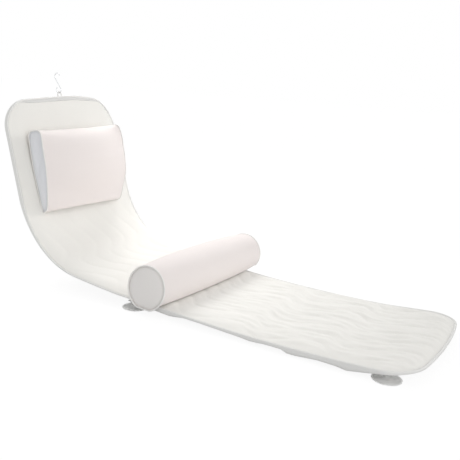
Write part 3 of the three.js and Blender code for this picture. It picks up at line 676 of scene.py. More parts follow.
def slab(name, part, shown, hidden, finish):
    """A closed sheet of padding: a fine face that shows, and a plain one on its other side."""
    rows = mat_rows(part)
    s, v = np.meshgrid(rows, np.linspace(-1, 1, COLUMNS), indexing="ij")
    y = v * half_width(s, PAD_INSET)
    fine = on_mat(s, y, shown(s, y))
    ends = [0, -1]
    edges = on_mat(s[:, ends], y[:, ends], core_height(s[:, ends]) + hidden)
    count = len(rows)
    plain = count * COLUMNS
    faces = grid_faces(count, COLUMNS) + grid_faces(count, 2, start=plain)
    for column, edge in ((0, 0), (COLUMNS - 1, 1)):
        for i in range(count - 1):
            a, b = i * COLUMNS + column, plain + 2 * i + edge
            faces.append((a, a + COLUMNS, b + 2, b))
    for row in (0, count - 1):
        top = [row * COLUMNS + j for j in range(COLUMNS)]
        faces.append((*top, plain + 2 * row + 1, plain + 2 * row))
    points = np.concatenate([fine.reshape(-1, 3), edges.reshape(-1, 3)])
    layers = [np.stack([first, s], -1) for first in (y, channel_at(s, y))]
    layers = [np.concatenate([layer.reshape(-1, 2), layer[:, ends].reshape(-1, 2)]) for layer in layers]
    return make_piece(name, points, faces, finish, *layers)


def bend_with_mat(piece, part):
    """Bakes the piece's placement into its points; the ends of the fold, or of the bend below the pillow's
    lower edge, are worked out but not used.
    """
    if part == "lower":
        start, end = on_mat(FOLD_STATION + FOLD_REACH, 0, 0), on_mat(FOLD_STATION - FOLD_REACH, 0, 0)
        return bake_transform(piece)
    start, end = on_mat(DISH_LENGTH, 0, 0), on_mat(BACK_START - PILLOW_LAP - BLEND_MARGIN, 0, 0)
    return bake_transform(piece)


for part, stretches in MAT_NODES.items():
    quilt = slab(f"quilted_top_{part}", part, quilt_height, LAYER_GAP, QUILT_KNIT)
    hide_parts(*[f"{n}_{layer}" for n in stretches for layer in ("quilted_top", "foam_core")])
    bend_with_mat(quilt, part)
    print(quilt.name, len(quilt.data.vertices), "points")

# %% [markdown]
# ## The underside
# A second sheet of mesh closes the mat from below. It swells a little between the sewn lines, lies flat where
# the webbing strips cross, and thins towards the rim. It is made as the top was, with its fine face down.

# %% The base panel
BASE_SWELL, BASE_TUCK, BASE_MARGIN = 0.0010, 0.0004, 0.05
STRIP_STATIONS = (0.059, 0.608, 0.705, BACK_START + 0.052, MAT_LENGTH - 0.052)
STRIP_WIDTH = 0.025


def base_height(s, y):
    inside = np.clip((edge_distance(s, y) + RIM_WIDTH - PAD_INSET) / BASE_MARGIN, 0, 1)
    swell = 1 - (1 - from_seam((y - seam_swing(s)) / CHANNEL_PITCH)) ** 2
    for station in STRIP_STATIONS:
        swell = swell * smooth(np.abs(s - station), STRIP_WIDTH * 0.6, STRIP_WIDTH * 1.4)
    depth = edge_depth(s) + (MAT_DEPTH - edge_depth(s)) * smooth(inside, 0, 1)
    return -depth + BASE_TUCK - BASE_SWELL * swell * inside


for part, stretches in MAT_NODES.items():
    base = slab(f"base_panel_{part}", part, base_height, -LAYER_GAP, BASE_KNIT)
    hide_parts(*[f"{n}_base_panel" for n in stretches])
    bend_with_mat(base, part)
    print(base.name, len(base.data.vertices), "points")

# %% [markdown]
# ## The bound edge
# A folded tape closes the mat's edge all round: a flat margin on top, a bead of piping at the corner and a
# soft side that bulges a little. It is one outline swept round the mat. The side is deeper where the filling
# sinks at the foot and shallow at the foot's end, so the outline changes on its way. Along the lower part the
# side is a greyer copy of the tape: painted shade.

# %% Edge tape with its piping bead
BEAD_RADIUS, BEAD_INSET, BEAD_HEIGHT = 0.0016, 0.0024, -0.0010
BEAD_THIN, THIN_START, THIN_END = 0.6, (0.60, 0.70), (1.02, 1.10)
BEAD_TURNS = np.radians(np.arange(130, -31, -20))
MARGIN_HEIGHT, MARGIN_FOLD, MARGIN_END = -0.0010, 0.0006, 0.0044
SIDE_SHARES = ((0.0007, 0.15), (0.0, 0.4), (0.0004, 0.75))
UNDER_SHARES = ((0.0020, 0.95), (0.0045, 1.0), (RIM_WIDTH, 1.0))
SIDE_STEPS = (11, 16)
RIM_STEP, RIM_TURN, RIM_END_POINTS = 0.006, 5, 22


def rim_outline(s, y):
    """The tape's outline as (distance inside the mat's outline, height), from the top seam outwards."""
    depth = edge_depth(s)
    thin = BEAD_THIN * smooth(s, *THIN_START) * (1 - smooth(s, *THIN_END)) if y > 0 else 0
    radius = min(BEAD_RADIUS, 0.4 * depth) * (1 - thin)
    bead = (BEAD_INSET, BEAD_HEIGHT) + radius * np.stack([-np.cos(BEAD_TURNS), np.sin(BEAD_TURNS)], -1)
    margin = [(RIM_WIDTH, MARGIN_HEIGHT - MARGIN_FOLD), (RIM_WIDTH - MARGIN_FOLD / 2, MARGIN_HEIGHT)]
    low = bead[-1][1]
    side = [(inset, low + share * (-depth - low)) for inset, share in SIDE_SHARES]
    under = [(inset, -share * depth) for inset, share in UNDER_SHARES]
    return [*margin, (MARGIN_END, MARGIN_HEIGHT), *bead, *side, *under]


def rim_path(part):
    """The mat's outline from the split on the near side, round the end, to the split on the far side."""
    radius = FOOT_CORNER if part == "lower" else HEAD_CORNER
    length = SPLIT if part == "lower" else MAT_LENGTH - SPLIT
    side = MAT_WIDTH / 2
    run = np.linspace(length, radius, round((length - radius) / RIM_STEP), endpoint=False)
    turned = np.radians(np.arange(0, 91, RIM_TURN))
    sine, cosine = np.sin(turned), np.cos(turned)
    end = np.linspace(-(side - radius), 0, RIM_END_POINTS)[1:]
    corner = (radius - radius * sine, -(side - radius) - radius * cosine, -sine, -cosine)
    parts = ((run, -side, 0, -1), corner, (0, end, -1, 0))
    half = np.concatenate([np.stack(np.broadcast_arrays(*columns), -1) for columns in parts])
    d, y, out_d, out_y = np.concatenate([half, half[-2::-1] * (1, -1, 1, -1)]).T
    if part == "upper":
        d, out_d = MAT_LENGTH - d, -out_d
    return d, y, out_d, out_y


def rim_points(part, outline_at):
    """Rings of an outline that runs round the rim."""
    rings = []
    for s, y, out_s, out_y in zip(*rim_path(part)):
        inset, h = np.array(outline_at(s, y)).T
        rings.append(on_mat(s - inset * out_s, y - inset * out_y, h))
    return np.array(rings)


for part, stretches in MAT_NODES.items():
    rings = rim_points(part, rim_outline)
    rim = swept(f"edge_tape_{part}", rings, EDGE_TAPE)
    # The side faces of the lower rim get the greyer tape, as painted shade.
    if part == "lower":
        rim.data.materials.append(EDGE_SIDE_PAINTED_SHADE)
        below = np.isin(np.arange(rings.shape[1]), range(*SIDE_STEPS))
        which = np.append(np.tile(below, len(rings) - 1), [False, False])
        rim.data.polygons.foreach_set("material_index", which.astype(np.int32))
    nodes = [n for n in frame["nodes"] if "edge_binding" in n and n.split("_")[0] in stretches]
    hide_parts(*nodes)
    bend_with_mat(rim, part)
    print(rim.name, len(rim.data.vertices), "points, replaces", len(nodes), "nodes")

# %% [markdown]
# ## The strip along the head edge
# A strip of tape is sewn on top along the head edge, where the loop pulls. Its grey is painted shade that
# darkens the head edge. It could be a stripe in the finish, but a thin band catches light at its edges, so it
# is a band that narrows to nothing in the corners.

# %% The head strip
HEAD_TAPE_WIDTH, HEAD_TAPE_RISE, HEAD_TAPE_INSET = 0.0085, 0.0009, 0.0042
HEAD_TAPE_HALF, HEAD_TAPE_ROWS = MAT_WIDTH / 2 - HEAD_CORNER + 0.022, 70
HEAD_TAPE_OUTLINE = ((0, 0.2), (0.06, 1), (0.5, 1.2), (0.94, 1), (1, 0.2), (0.94, -0.4), (0.06, -0.4))


def head_tape_ring(y):
    """The strip's outline at one place across the mat."""
    corner = max(0, abs(y) - (MAT_WIDTH / 2 - HEAD_CORNER))
    edge = MAT_LENGTH - (HEAD_CORNER - math.sqrt(HEAD_CORNER**2 - corner**2))
    full = 1 - 0.97 * (abs(y) / HEAD_TAPE_HALF) ** 6
    inset, lift = full * np.array(HEAD_TAPE_OUTLINE).T
    s, across = edge - HEAD_TAPE_INSET - HEAD_TAPE_WIDTH * inset, np.full(len(inset), y)
    return on_mat(s, across, quilt_height(s, across) + HEAD_TAPE_RISE * lift)


rings = [head_tape_ring(y) for y in np.linspace(-HEAD_TAPE_HALF, HEAD_TAPE_HALF, HEAD_TAPE_ROWS)]
strip = swept("head_tape_painted_shade", rings, HEAD_TAPE_PAINTED_SHADE)
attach(strip, "back")
print(strip.name, len(strip.data.vertices), "points")

# %% [markdown]
# ## Stitches
# The tape is sewn down by one row of stitches along its inner margin. Each stitch is a short thread that dips
# at both ends. A row is one mesh, because hundreds of single objects would only slow the scene.

# %% Stitch rows
STITCH_LENGTH, STITCH_PITCH, STITCH_RADIUS = 0.0036, 0.0050, 0.00035
STITCH_SIDES = 6
STITCH_SHARES = np.array([-0.5, -0.32, 0, 0.32, 0.5])
STITCH_SWELL = np.array([0.25, 0.85, 1.0, 0.85, 0.25]) * STITCH_RADIUS
SEAM_INSET = 0.0053


def stitch_row(name, path, normals, finish):
    """Stitches a pitch apart along a path on cloth."""
    run = run_along(path)
    count = len(STITCH_SHARES)
    rings, faces = [], []
    for middle in np.arange(STITCH_PITCH, run[-1] - STITCH_PITCH / 2, STITCH_PITCH):
        at = middle + STITCH_SHARES * STITCH_LENGTH
        points, up = (np.stack([np.interp(at, run, c) for c in of.T], -1) for of in (path, normals))
        points = points + up * (STITCH_SWELL - 0.5 * STITCH_RADIUS)[:, None]
        start = len(rings) * count * STITCH_SIDES
        faces += grid_faces(count, STITCH_SIDES, closed=True, start=start)
        faces += end_faces(count, STITCH_SIDES, start)
        rings.append(tube_rings(points, up, STITCH_SWELL, STITCH_SIDES))
    return make_piece(name, rings, faces, finish, np.reshape(rings, (-1, 3))[:, :2])


for part in MAT_NODES:
    seam = rim_points(part, lambda s, y: [(SEAM_INSET, MARGIN_HEIGHT), (SEAM_INSET, 0.0)])
    path, lifted = seam[:, 0], seam[:, 1]
    stitches = stitch_row(f"edge_stitches_{part}", path, unit(lifted - path), THREAD)
    bend_with_mat(stitches, part)
    print(stitches.name, len(stitches.data.vertices), "points")

# %% [markdown]
# ## Filled covers
# The pillow and the bolster are sewn covers with soft filling. A rounded box would look hard, so each starts
# as a slightly slack cover of even faces and is blown up by a cloth simulation: pressure pushes it out, its
# seams draw in and are half held, the side that rests on the mat is held, and a cap keeps any point from
# moving too far. The simulated points are written back, so nothing is left to simulate when the object moves.

# %% Blow up a cover
CLOTH_FRAMES = 20
CLOTH = dict(
    quality=6, mass=0.3, tension_stiffness=12, compression_stiffness=12, shear_stiffness=4,
    bending_stiffness=0.6, use_pressure=True, uniform_pressure_force=3,
)
SEAM_HOLD = 0.4


def positions(mesh):
    points = np.zeros(len(mesh.vertices) * 3, np.float32)
    mesh.vertices.foreach_get("co", points)
    return points.reshape(-1, 3).astype(float)


def weigh(piece, name, weights):
    """Makes a group of the points that have a weight."""
    group = piece.vertex_groups.new(name=name)
    for index, weight in enumerate(weights):
        if weight > 0:
            group.add([index], float(weight), "REPLACE")
    return name


def inflate(piece, held, drawn, shrink, cap):
    """Runs a cloth simulation with some points held and some drawn in, and keeps its result."""
    before = positions(piece.data)
    groups = weigh(piece, "held", held), weigh(piece, "shrunk", drawn)
    cloth = piece.modifiers.new("inflate", "CLOTH")
    for name, value in CLOTH.items():
        setattr(cloth.settings, name, value)
    cloth.settings.vertex_group_mass, cloth.settings.vertex_group_shrink = groups
    cloth.settings.shrink_max = shrink
    cloth.settings.effector_weights.gravity = 0
    cloth.collision_settings.use_collision = False
    cloth.point_cache.frame_end = CLOTH_FRAMES
    for step in range(1, CLOTH_FRAMES + 1):
        bpy.context.scene.frame_set(step)
    settled = piece.evaluated_get(bpy.context.evaluated_depsgraph_get())
    move = positions(settled.data) - before
    length = np.linalg.norm(move, axis=1, keepdims=True)
    move *= np.minimum(1, cap / np.maximum(length, 1e-9))
    piece.modifiers.remove(cloth)
    piece.data.vertices.foreach_set("co", (before + move).astype(np.float32).ravel())
    piece.data.update()
    bpy.context.scene.frame_set(1)
    print(piece.name, "moved by up to", round(float(np.linalg.norm(move, axis=1).max()) * 1000, 1), "mm")


def fill_cover(cover, seams, held, shrink, cap):
    """Blows a cover up; its seams draw in and are half held."""
    drawn = np.zeros(len(held))
    for loop in seams.values():
        held[loop] = np.maximum(held[loop], SEAM_HOLD)
        drawn[loop] = 1.0
    inflate(cover, held, drawn, shrink, cap)


def soften(piece):
    modifier = piece.modifiers.new("soft", "SUBSURF")
    modifier.levels = modifier.render_levels = 1


print("cloth frames:", CLOTH_FRAMES)

# %% [markdown]
# ## Sleeves with sewn ends
# The pillow and the bolster are made alike: one piece of cloth wraps round as a sleeve, and a panel closes
# each end. So one function makes both from a section. The section may change along the sleeve, and each end
# panel is the last section, drawn in to its middle in rings so that its faces stay even. It dips beside its
# seam. A cord of piping is laid into each seam once the simulation is done, so it follows the puffed cloth.

# %% Sleeve and piping
END_SHARES = np.array([0.975, 0.95, 0.91, 0.82, 0.68, 0.54, 0.40, 0.26, 0.12])
SEAM_DIP, DIP_WIDTH, DIP_POWER = 0.0060, 0.035, 14
FLAT_STEP = 0.0045
PIPING_RADIUS = 0.0016
PIPING_SIDES = 10


def even_outline(along, height, count):
    """A closed outline as evenly spaced points."""
    along, height = np.append(along, along[0]), np.append(height, height[0])
    run = run_along(np.stack([along, height], -1))
    even = np.linspace(0, run[-1], count, endpoint=False)
    return np.interp(even, run, along), np.interp(even, run, height)


def sewn_sleeve(name, section, place, reach, rows, middle, crown, finishes):
    """A sleeve through sections at shares -1 to 1 of its reach, with a panel at each end."""
    shares = np.linspace(-1, 1, rows)
    rings = [place(*section(share), reach * share) for share in shares]
    sides = len(rings[0])
    around = np.arange(sides) * FLAT_STEP
    flats = [np.stack([around, np.full(sides, reach * share)], -1) for share in shares]
    dips = SEAM_DIP * smooth(1 - END_SHARES, 0, DIP_WIDTH) * END_SHARES**DIP_POWER
    bulge = crown * (1 - END_SHARES**2) - dips
    for sign in (-1, 1):
        seam = section(sign)
        drawn = [[m + (part - m) * k for m, part in zip(middle, seam)] for k in END_SHARES]
        panel = [place(*ring, sign * (reach + out)) for ring, out in zip(drawn, bulge)]
        panel_flat = [np.stack(ring, -1) for ring in drawn]
        rings = rings + panel if sign > 0 else panel[::-1] + rings
        flats = flats + panel_flat if sign > 0 else panel_flat[::-1] + flats
    faces = grid_faces(len(rings), sides, closed=True) + end_faces(len(rings), sides)
    piece = make_piece(name, np.array(rings), faces, finishes[0], np.array(flats))
    piece.data.materials.append(finishes[1])
    first, last = len(END_SHARES), len(END_SHARES) + rows - 1
    ring_of = np.array([min(polygon.vertices) // sides for polygon in piece.data.polygons])
    ends = (ring_of < first) | (ring_of >= last)
    piece.data.polygons.foreach_set("material_index", ends.astype(np.int32))
    seams = {side: ring * sides + np.arange(sides) for side, ring in (("near", first), ("far", last))}
    return piece, seams


def closed_tube(name, path, radius, finish):
    """A round tube along a closed path, with its ends joined."""
    tangents = unit(np.roll(path, -1, axis=0) - np.roll(path, 1, axis=0))
    away = path - path.mean(axis=0)
    outward = unit(away - (away * tangents).sum(axis=1, keepdims=True) * tangents)
    rings = circles(path, outward, np.cross(tangents, outward), radius, PIPING_SIDES)
    return swept(name, rings, finish, closed=True)


def pipe_seams(cover, seams, body, nodes):
    """Lays piping along the seams as the simulation left them."""
    for side, loop in seams.items():
        path = positions(cover.data)[loop]
        piping = closed_tube(f"{body}_piping_cord_{side}", path, PIPING_RADIUS, PIPING_TAPE)
        soften(piping)
        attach(piping, body)
        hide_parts(*nodes[side])


print("end panels of", len(END_SHARES), "rings")

# %% [markdown]
# ## The head pillow
# Its sleeve is blunt on top, crowned in front and rolls in towards the mat below, so the end panels look
# like a slice of bread. Between its ends the lower edge lifts off the mat as a soft lip. What faces the mat
# is held while the cover is blown up. Points are chosen by the way they face, since the rear isn't flat.

# %% The pillow
PILLOW_WIDTH, PILLOW_HEIGHT, PILLOW_OFFSET = 0.288, 0.197, 0.0015
PILLOW_REAR, PILLOW_DEPTH, PILLOW_CROWN = 0.0040, 0.043, 0.025
PILLOW_TAPER, TAPER_START = 0.60, 0.15
PILLOW_TILT, PILLOW_FLARE, PILLOW_LEAN = math.radians(1.2), 0.02, 0.009
LOWER_SLACK, LOWER_SLACK_RANGE = 0.019, (0.2, 1)
UPPER_SLACK, UPPER_SLACK_RANGE = 0.0065, (0.55, 1)
SLACK_REACH = (0.4, 1)
REAR_LIFT, REAR_START = 0.008, 0.86
LIP_LIFT, LIP_START = 0.017, 0.55
LOWER_ROUND, UPPER_ROUND, BLUNT_ROUND = 2.2, 6, 20
PILLOW_STEPS, PILLOW_POINTS, PILLOW_ROWS = 300, 96, 59
PILLOW_END_MIDDLE, PILLOW_END_CROWN = (0.0, 0.020), 0.003
HELD_FACING = -0.3
PILLOW_STATION = BACK_START - PILLOW_LAP + PILLOW_HEIGHT / 2
PILLOW_REACH = PILLOW_WIDTH / 2 - PIPING_RADIUS


def along_line(station, forward):
    """Places on the straight line that touches the mat's line at a station."""
    x, z, heading = profile(station)
    return x - forward * math.cos(heading), z + forward * math.sin(heading), np.full_like(forward, heading)


def on_pillow(up, out, across):
    """Points of the pillow's own frame: up the back, out of the mat, across it. It lies a little askew."""
    across = np.broadcast_to(across, up.shape)
    rise, reach = up / PILLOW_HEIGHT * 2, across / PILLOW_WIDTH * 2
    slack = LOWER_SLACK * smooth(-rise, *LOWER_SLACK_RANGE) + UPPER_SLACK * smooth(rise, *UPPER_SLACK_RANGE)
    up = up * (1 + PILLOW_FLARE * reach)
    across = across - slack * smooth(reach, *SLACK_REACH)
    climb = up * math.cos(PILLOW_TILT) + across * math.sin(PILLOW_TILT)
    aside = across * math.cos(PILLOW_TILT) - up * math.sin(PILLOW_TILT)
    return over(along_line(PILLOW_STATION, climb), PILLOW_OFFSET + aside, out)


def past(value, start):
    """0 up to start, then evenly up to 1 at 1."""
    return np.clip((value - start) / (1 - start), 0, 1)


def pillow_section(share):
    """The pillow's section, up its back and down its front, at a share of its half width."""
    t = -np.cos(np.linspace(0, math.pi, PILLOW_STEPS))
    middle = 1 - abs(share) ** 4
    blunt = (1 - np.abs(t) ** BLUNT_ROUND) ** (1 / 3)
    round_off = (1 - np.abs(t) ** np.where(t < 0, LOWER_ROUND, UPPER_ROUND)) ** 0.5
    taper = 1 - PILLOW_TAPER * past(-t, -TAPER_START) ** 1.35
    depth = PILLOW_DEPTH * taper * (blunt + middle * (round_off - blunt))
    crown = PILLOW_CROWN * (1 - abs(share) ** 2.1) * (1 - np.abs(t) ** 2.2)
    rear = REAR_LIFT * past(t, REAR_START) ** 2.5
    shift = PILLOW_REAR + PILLOW_LEAN * past(t, 0) ** 1.5 + LIP_LIFT * past(-t, LIP_START) ** 2 * middle
    front = shift + np.maximum(depth + crown, rear)
    up = PILLOW_HEIGHT / 2 * t
    down = slice(-2, 0, -1)
    return even_outline(np.append(up, up[down]), np.append(shift + rear, front[down]), PILLOW_POINTS)


cover, seams = sewn_sleeve(
    "pillow_cover", pillow_section, on_pillow, PILLOW_REACH, PILLOW_ROWS, PILLOW_END_MIDDLE, PILLOW_END_CROWN,
    (COVER_KNIT, GUSSET_KNIT),
)
facing = np.array([vertex.normal for vertex in cover.data.vertices]) @ BACK_OUT
fill_cover(cover, seams, np.where(facing < HELD_FACING, 1.0, 0.0), shrink=0.015, cap=0.006)
pipe_seams(cover, seams, "pillow", {"near": ["pillow_piping"], "far": ["pillow_piping"]})
soften(cover)
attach(cover, "pillow")
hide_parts("pillow_front_panel", "pillow_back_panel", "pillow_gusset", "pillow_fill")
print("pillow cover", len(cover.data.vertices), "points")

# %% [markdown]
# ## The bolster
# A firm roll lies across the seat, flat underneath where it clings to the mat and fullest in its middle. Its
# near end hangs a little over the mat's edge. It is blown up like the pillow, with its underside and its end
# panels held.

# %% The bolster
BOLSTER_STATION, BOLSTER_OFFSET = 0.566, 0.0153
BOLSTER_LENGTH, BOLSTER_RADIUS, BOLSTER_SWELL = 0.4175, 0.0470, 0.0075
BOLSTER_AXIS, BOLSTER_BOTTOM = 0.034, 0.0052
BOLSTER_DROOP, DROOP_START = 0.0150, 0.965
BOLSTER_HANG, HANG_RANGE = 0.012, (0.75, 1)
BOLSTER_STEPS, BOLSTER_POINTS, BOLSTER_ROWS = 360, 72, 81
BOLSTER_END_CROWN, BOLSTER_END_ROOM = 0.004, 0.003
BOLSTER_REACH = BOLSTER_LENGTH / 2 - PIPING_RADIUS - BOLSTER_END_ROOM
HELD_HEIGHT = BOLSTER_BOTTOM + 0.001


def on_bolster(along, height, across):
    """Points of the bolster's own frame: along the mat to the head, over it, across it."""
    low = np.clip((BOLSTER_AXIS + BOLSTER_RADIUS - height) / (2 * BOLSTER_RADIUS), 0, 1)
    hang = BOLSTER_HANG * low * smooth(-across / BOLSTER_REACH, *HANG_RANGE)
    return over(along_line(BOLSTER_STATION, along), BOLSTER_OFFSET + across - hang, height)


def bolster_section(share):
    """A circle that is cut flat below, less so at the near end, which hangs over the mat's edge."""
    angles = np.linspace(0, 2 * math.pi, BOLSTER_STEPS, endpoint=False)
    radius = BOLSTER_RADIUS + BOLSTER_SWELL * (1 - abs(share) ** 2.5)
    height = BOLSTER_AXIS + radius * np.sin(angles)
    bottom = BOLSTER_BOTTOM - BOLSTER_DROOP * smooth(-share, DROOP_START, 1)
    return even_outline(radius * np.cos(angles), np.maximum(height, bottom), BOLSTER_POINTS)


roll, seams = sewn_sleeve(
    "bolster_cover", bolster_section, on_bolster, BOLSTER_REACH, BOLSTER_ROWS, (0.0, BOLSTER_AXIS),
    BOLSTER_END_CROWN, (COVER_KNIT, PANEL_KNIT),
)
over_mat = (positions(roll.data) - over(profile(BOLSTER_STATION), 0, 0)) @ on_mat_normal(BOLSTER_STATION)
ring_of = np.arange(len(over_mat)) // BOLSTER_POINTS
in_panel = (ring_of < len(END_SHARES)) | (ring_of >= len(END_SHARES) + BOLSTER_ROWS)
fill_cover(roll, seams, np.where((over_mat < HELD_HEIGHT) | in_panel, 1.0, 0.0), shrink=0.012, cap=0.005)
pipe_seams(roll, seams, "bolster", {side: [f"bolster_piping_{side}"] for side in seams})
soften(roll)
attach(roll, "bolster")
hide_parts("bolster_sleeve", "bolster_fill", "bolster_end_near", "bolster_end_far")
print("bolster cover", len(roll.data.vertices), "points")

# %% [markdown]
# ## Suction cups
# Each cup is soft clear-grey vinyl, turned about its axis: a thin flexible rim, a shallow hollow below, a
# dome with a step, and a neck with a button that is sewn through the webbing. A turned outline with many
# sides replaces the frame's coarse one. The floor's cups stand upright and the back's stand square to it.

# %% Vinyl and the turned cups
CUP_RADIUS, CUP_NECK, CUP_BUTTON, CUP_RIM = 0.027, 0.006, 0.009, 0.0016
CUP_SIDES = 64
BACK_CUP_HEIGHT = 0.018
CUP_BODIES = {"foot": "foot", "seat": "seat", "bend": "seat", "back_lower": "back", "back_upper": "back"}


def vinyl(name):
    skin = new_shading(name)
    haze, grain = skin.spread(skin.cloud(40)), skin.cloud(500, 2)
    return skin.finish(
        bump={"Height": grain, "Strength": 0.06, "Distance": 0.0002},
        Base_Color=skin.mixed(haze, (0.96, 0.96, 0.95), (0.92, 0.92, 0.91)),
        Roughness=skin.spread(grain, 0.28, 0.42), Specular_IOR_Level=0.45, Transmission_Weight=0.5,
    )


def cup_outline(height):
    """Radius and height from the middle of the hollow, over the rim, to the top of the button."""
    dome = height - CUP_RIM
    return [
        (0.0005, 0.0022), (0.010, 0.0020), (0.017, 0.0013), (0.0225, 0.0003), (0.0240, 0.0), (0.0262, 0.0),
        (CUP_RADIUS, 0.0004), (CUP_RADIUS, 0.0010), (0.0262, 0.0015), (0.0235, 0.0019),
        (0.0205, CUP_RIM + 0.16 * dome), (0.0165, CUP_RIM + 0.34 * dome), (0.0120, CUP_RIM + 0.52 * dome),
        (0.0085, CUP_RIM + 0.66 * dome), (CUP_NECK, 0.80 * dome), (CUP_NECK, 0.93 * dome), (0.0064, dome),
        (CUP_BUTTON - 0.0004, dome), (CUP_BUTTON, dome + 0.0005), (CUP_BUTTON, height - 0.0005),
        (CUP_BUTTON - 0.0005, height), (0.0005, height),
    ]


def turned_cup(name, foot, axis, height, finish):
    """A cup that stands on foot along axis."""
    first = Vector(axis).orthogonal().normalized()
    outward, sideways = np.array([first]), np.array([Vector(axis).cross(first)])
    rings = []
    for radius, h in cup_outline(height):
        rings.append(circles((foot + h * axis)[None, :], outward, sideways, radius, CUP_SIDES)[0])
    return swept(name, rings, finish)


VINYL = vinyl("cup_vinyl")
for place, body in CUP_BODIES.items():
    for side in ("near", "far"):
        node = f"{place}_cup_{side}"
        low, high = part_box(node)
        middle = np.array((low + high) / 2)
        upright = body != "back"
        axis = np.array([0.0, 0.0, 1.0]) if upright else BACK_OUT
        height = high.z - low.z if upright else BACK_CUP_HEIGHT
        corners = np.array([v.co for v in frame["nodes"][node].data.vertices])
        foot = middle + axis * ((corners - middle) @ axis).min()
        cup = turned_cup(f"{node}_vinyl", foot, axis, height, VINYL)
        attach(cup, body)
        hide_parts(node)
print("cups:", 2 * len(CUP_BODIES))

# %% [markdown]
# ## Webbing strips
# The cups are held by strips of webbing that are sewn across the underside. Each is a flat band with soft
# edges that follows the mat's line. A plane with a thickness modifier would have hard edges, so the band is
# an outline swept across the mat.

# %% Strips under the mat
STRIP_TOP, STRIP_BOTTOM, STRIP_SOFT = -0.0113, -0.0128, 0.0006
STRIP_HALF = {"foot": 0.172, "seat": 0.181, "bend": 0.069, "back_lower": 0.123, "back_upper": 0.123}
STRIP_ROWS = 61


def strip_outline(half):
    """The band's outline, along its lower side and back along its upper one."""
    middle, soft = (STRIP_TOP + STRIP_BOTTOM) / 2, STRIP_SOFT
    low, high = STRIP_BOTTOM + soft / 3, STRIP_TOP - soft / 3
    return np.array([
        (-half, middle), (-half + soft, low), (-half * 0.5, STRIP_BOTTOM), (half * 0.5, STRIP_BOTTOM),
        (half - soft, low), (half, middle), (half - soft, high), (half * 0.5, STRIP_TOP),
        (-half * 0.5, STRIP_TOP), (-half + soft, high),
    ])


for station, (place, body) in zip(STRIP_STATIONS, CUP_BODIES.items()):
    along, h = strip_outline(STRIP_WIDTH / 2).T
    reach = STRIP_HALF[place]
    rings = [on_mat(station + along, y, h) for y in np.linspace(-reach, reach, STRIP_ROWS)]
    strip = swept(f"{place}_webbing", rings, WEBBING)
    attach(strip, body)
    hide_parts(f"{place}_cup_strip")
print("strips:", len(STRIP_STATIONS))

# %% [markdown]
# ## Hook tape
# Strips of hook tape under the bolster and behind the pillow grip the mesh. They hide between the cloths, so
# the frame's own flat pieces stay and get a finish of fine bristles.

# %% Bristle finish


def bristles(name):
    tape = new_shading(name)
    spikes = tape.ranged(tape.cloud(1500, 1), 0.4, 0.65)
    colour = tape.mixed(spikes, (0.62, 0.62, 0.60), (0.82, 0.82, 0.80))
    return tape.finish(bump={"Height": spikes, "Distance": 0.0008}, Base_Color=colour, Roughness=0.7)


HOOK_TAPE = bristles("hook_tape")
tapes = [node for node in frame["nodes"].values() if "hook_tape" in node.name]
for node in tapes:
    node.data.materials.clear()
    node.data.materials.append(HOOK_TAPE)
print("hook tapes:", len(tapes))

# %% [markdown]
# ## The hanging loop and the hook
# A bight of cord comes out of the head edge, and an S of steel wire hangs in it: an upper arc, a slanted
# stem that touches both arcs, and a lower arc that closes round the cord. The wire's path is worked out from
# its two arcs, and it ends in rounded tips.

# %% Steel and cord
LOOP_RISE, LOOP_HALF, LOOP_RADIUS, LOOP_DEPTH = 0.009, 0.007, 0.0015, -0.0056
LOOP_ROOT, LOOP_POINTS, LOOP_SIDES = 0.004, 25, 14
HOOK_UPPER, HOOK_LOWER, HOOK_SPACING, HOOK_WIRE = 0.0085, 0.0078, 0.0336, 0.0013
HOOK_UPPER_TIP, HOOK_LOWER_TIP, HOOK_LEAN = (math.radians(angle) for angle in (15, 115, 10))
HOOK_CLEARANCE, HOOK_SIDES = 0.0003, 20
UPPER_POINTS, STEM_POINTS, LOWER_POINTS = 40, 12, 48
TIP_STEPS, TIP_LEAST = np.array([0.0, 0.35, 0.7, 0.92]), 0.08


def steel(name):
    metal = new_shading(name)
    smear = metal.cloud(260)
    colour = metal.mixed(smear, (0.82, 0.83, 0.84), (0.74, 0.75, 0.77))
    return metal.finish(Base_Color=colour, Roughness=metal.spread(smear, 0.14, 0.30), Metallic=1.0)


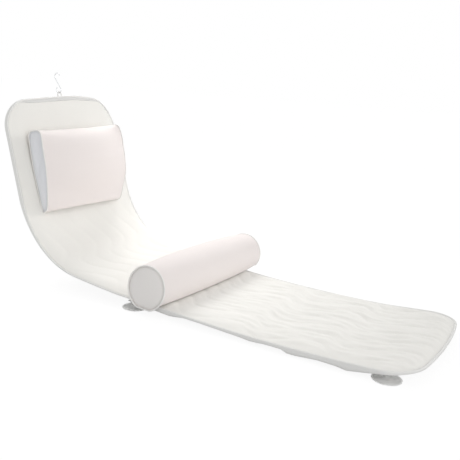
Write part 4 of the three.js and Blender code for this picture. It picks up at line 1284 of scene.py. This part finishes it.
def hook_path():
    """The S as points in the X-Z plane, from the upper tip to the lower one, about the cord that holds it."""
    lean = math.asin((HOOK_UPPER + HOOK_LOWER) / HOOK_SPACING)
    upper = np.linspace(HOOK_UPPER_TIP, math.pi + lean, UPPER_POINTS)
    lower = np.linspace(lean, HOOK_LOWER_TIP - 2 * math.pi, LOWER_POINTS)
    top = np.stack([HOOK_UPPER * np.cos(upper), HOOK_SPACING + HOOK_UPPER * np.sin(upper)], -1)
    end = np.stack([HOOK_LOWER * np.cos(lower), HOOK_LOWER * np.sin(lower)], -1)
    stem = top[-1] + np.linspace(0, 1, STEM_POINTS)[1:-1, None] * (end[0] - top[-1])
    flat = np.concatenate([top, stem, end]) + (0, HOOK_LOWER - LOOP_RADIUS - HOOK_WIRE - HOOK_CLEARANCE)
    c, s = math.cos(HOOK_LEAN), math.sin(HOOK_LEAN)
    x, z = flat[:, 0] * c - flat[:, 1] * s, flat[:, 0] * s + flat[:, 1] * c
    return np.stack([x, np.zeros(len(flat)), z], -1)


def rounded_wire(name, path, normal, radius, sides, finish):
    """A wire whose ends taper to small domes."""
    first, last = unit(path[0] - path[1]), unit(path[-1] - path[-2])
    reach = radius * np.sqrt(1 - TIP_STEPS**2)[:, None]
    tip = np.maximum(TIP_STEPS, TIP_LEAST)
    points = np.concatenate([path[0] + first * reach, path, (path[-1] + last * reach)[::-1]])
    width = radius * np.concatenate([tip, np.ones(len(path)), tip[::-1]])
    return swept(name, tube_rings(points, np.tile(normal, (len(points), 1)), width, sides), finish)


wire_path = over(profile(MAT_LENGTH + LOOP_RISE), 0, LOOP_DEPTH) + hook_path()
hook = rounded_wire("hook_wire", wire_path, (0.0, 1.0, 0.0), HOOK_WIRE, HOOK_SIDES, steel("steel"))
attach(hook, "hook")
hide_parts("s_hook")

turns = np.linspace(0, math.pi, LOOP_POINTS)
climb = np.sin(turns) ** 0.8
spread = LOOP_HALF * np.cos(turns) * (1 - 0.25 * climb)
loop_path = over(profile(MAT_LENGTH - LOOP_ROOT + (LOOP_RISE + LOOP_ROOT) * climb), spread, LOOP_DEPTH)
outward = np.tile(BACK_OUT, (len(loop_path), 1))
loop = swept("hanging_cord", tube_rings(loop_path, outward, LOOP_RADIUS, LOOP_SIDES), PIPING_TAPE)
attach(loop, "back")
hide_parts("hanging_loop")
print("hook wire", round(float(run_along(wire_path)[-1]), 4), "m long")

# %% [markdown]
# ## Size and finish
# The dressed object has to fill the same box as its frame, apart from a little loft of the cloth.
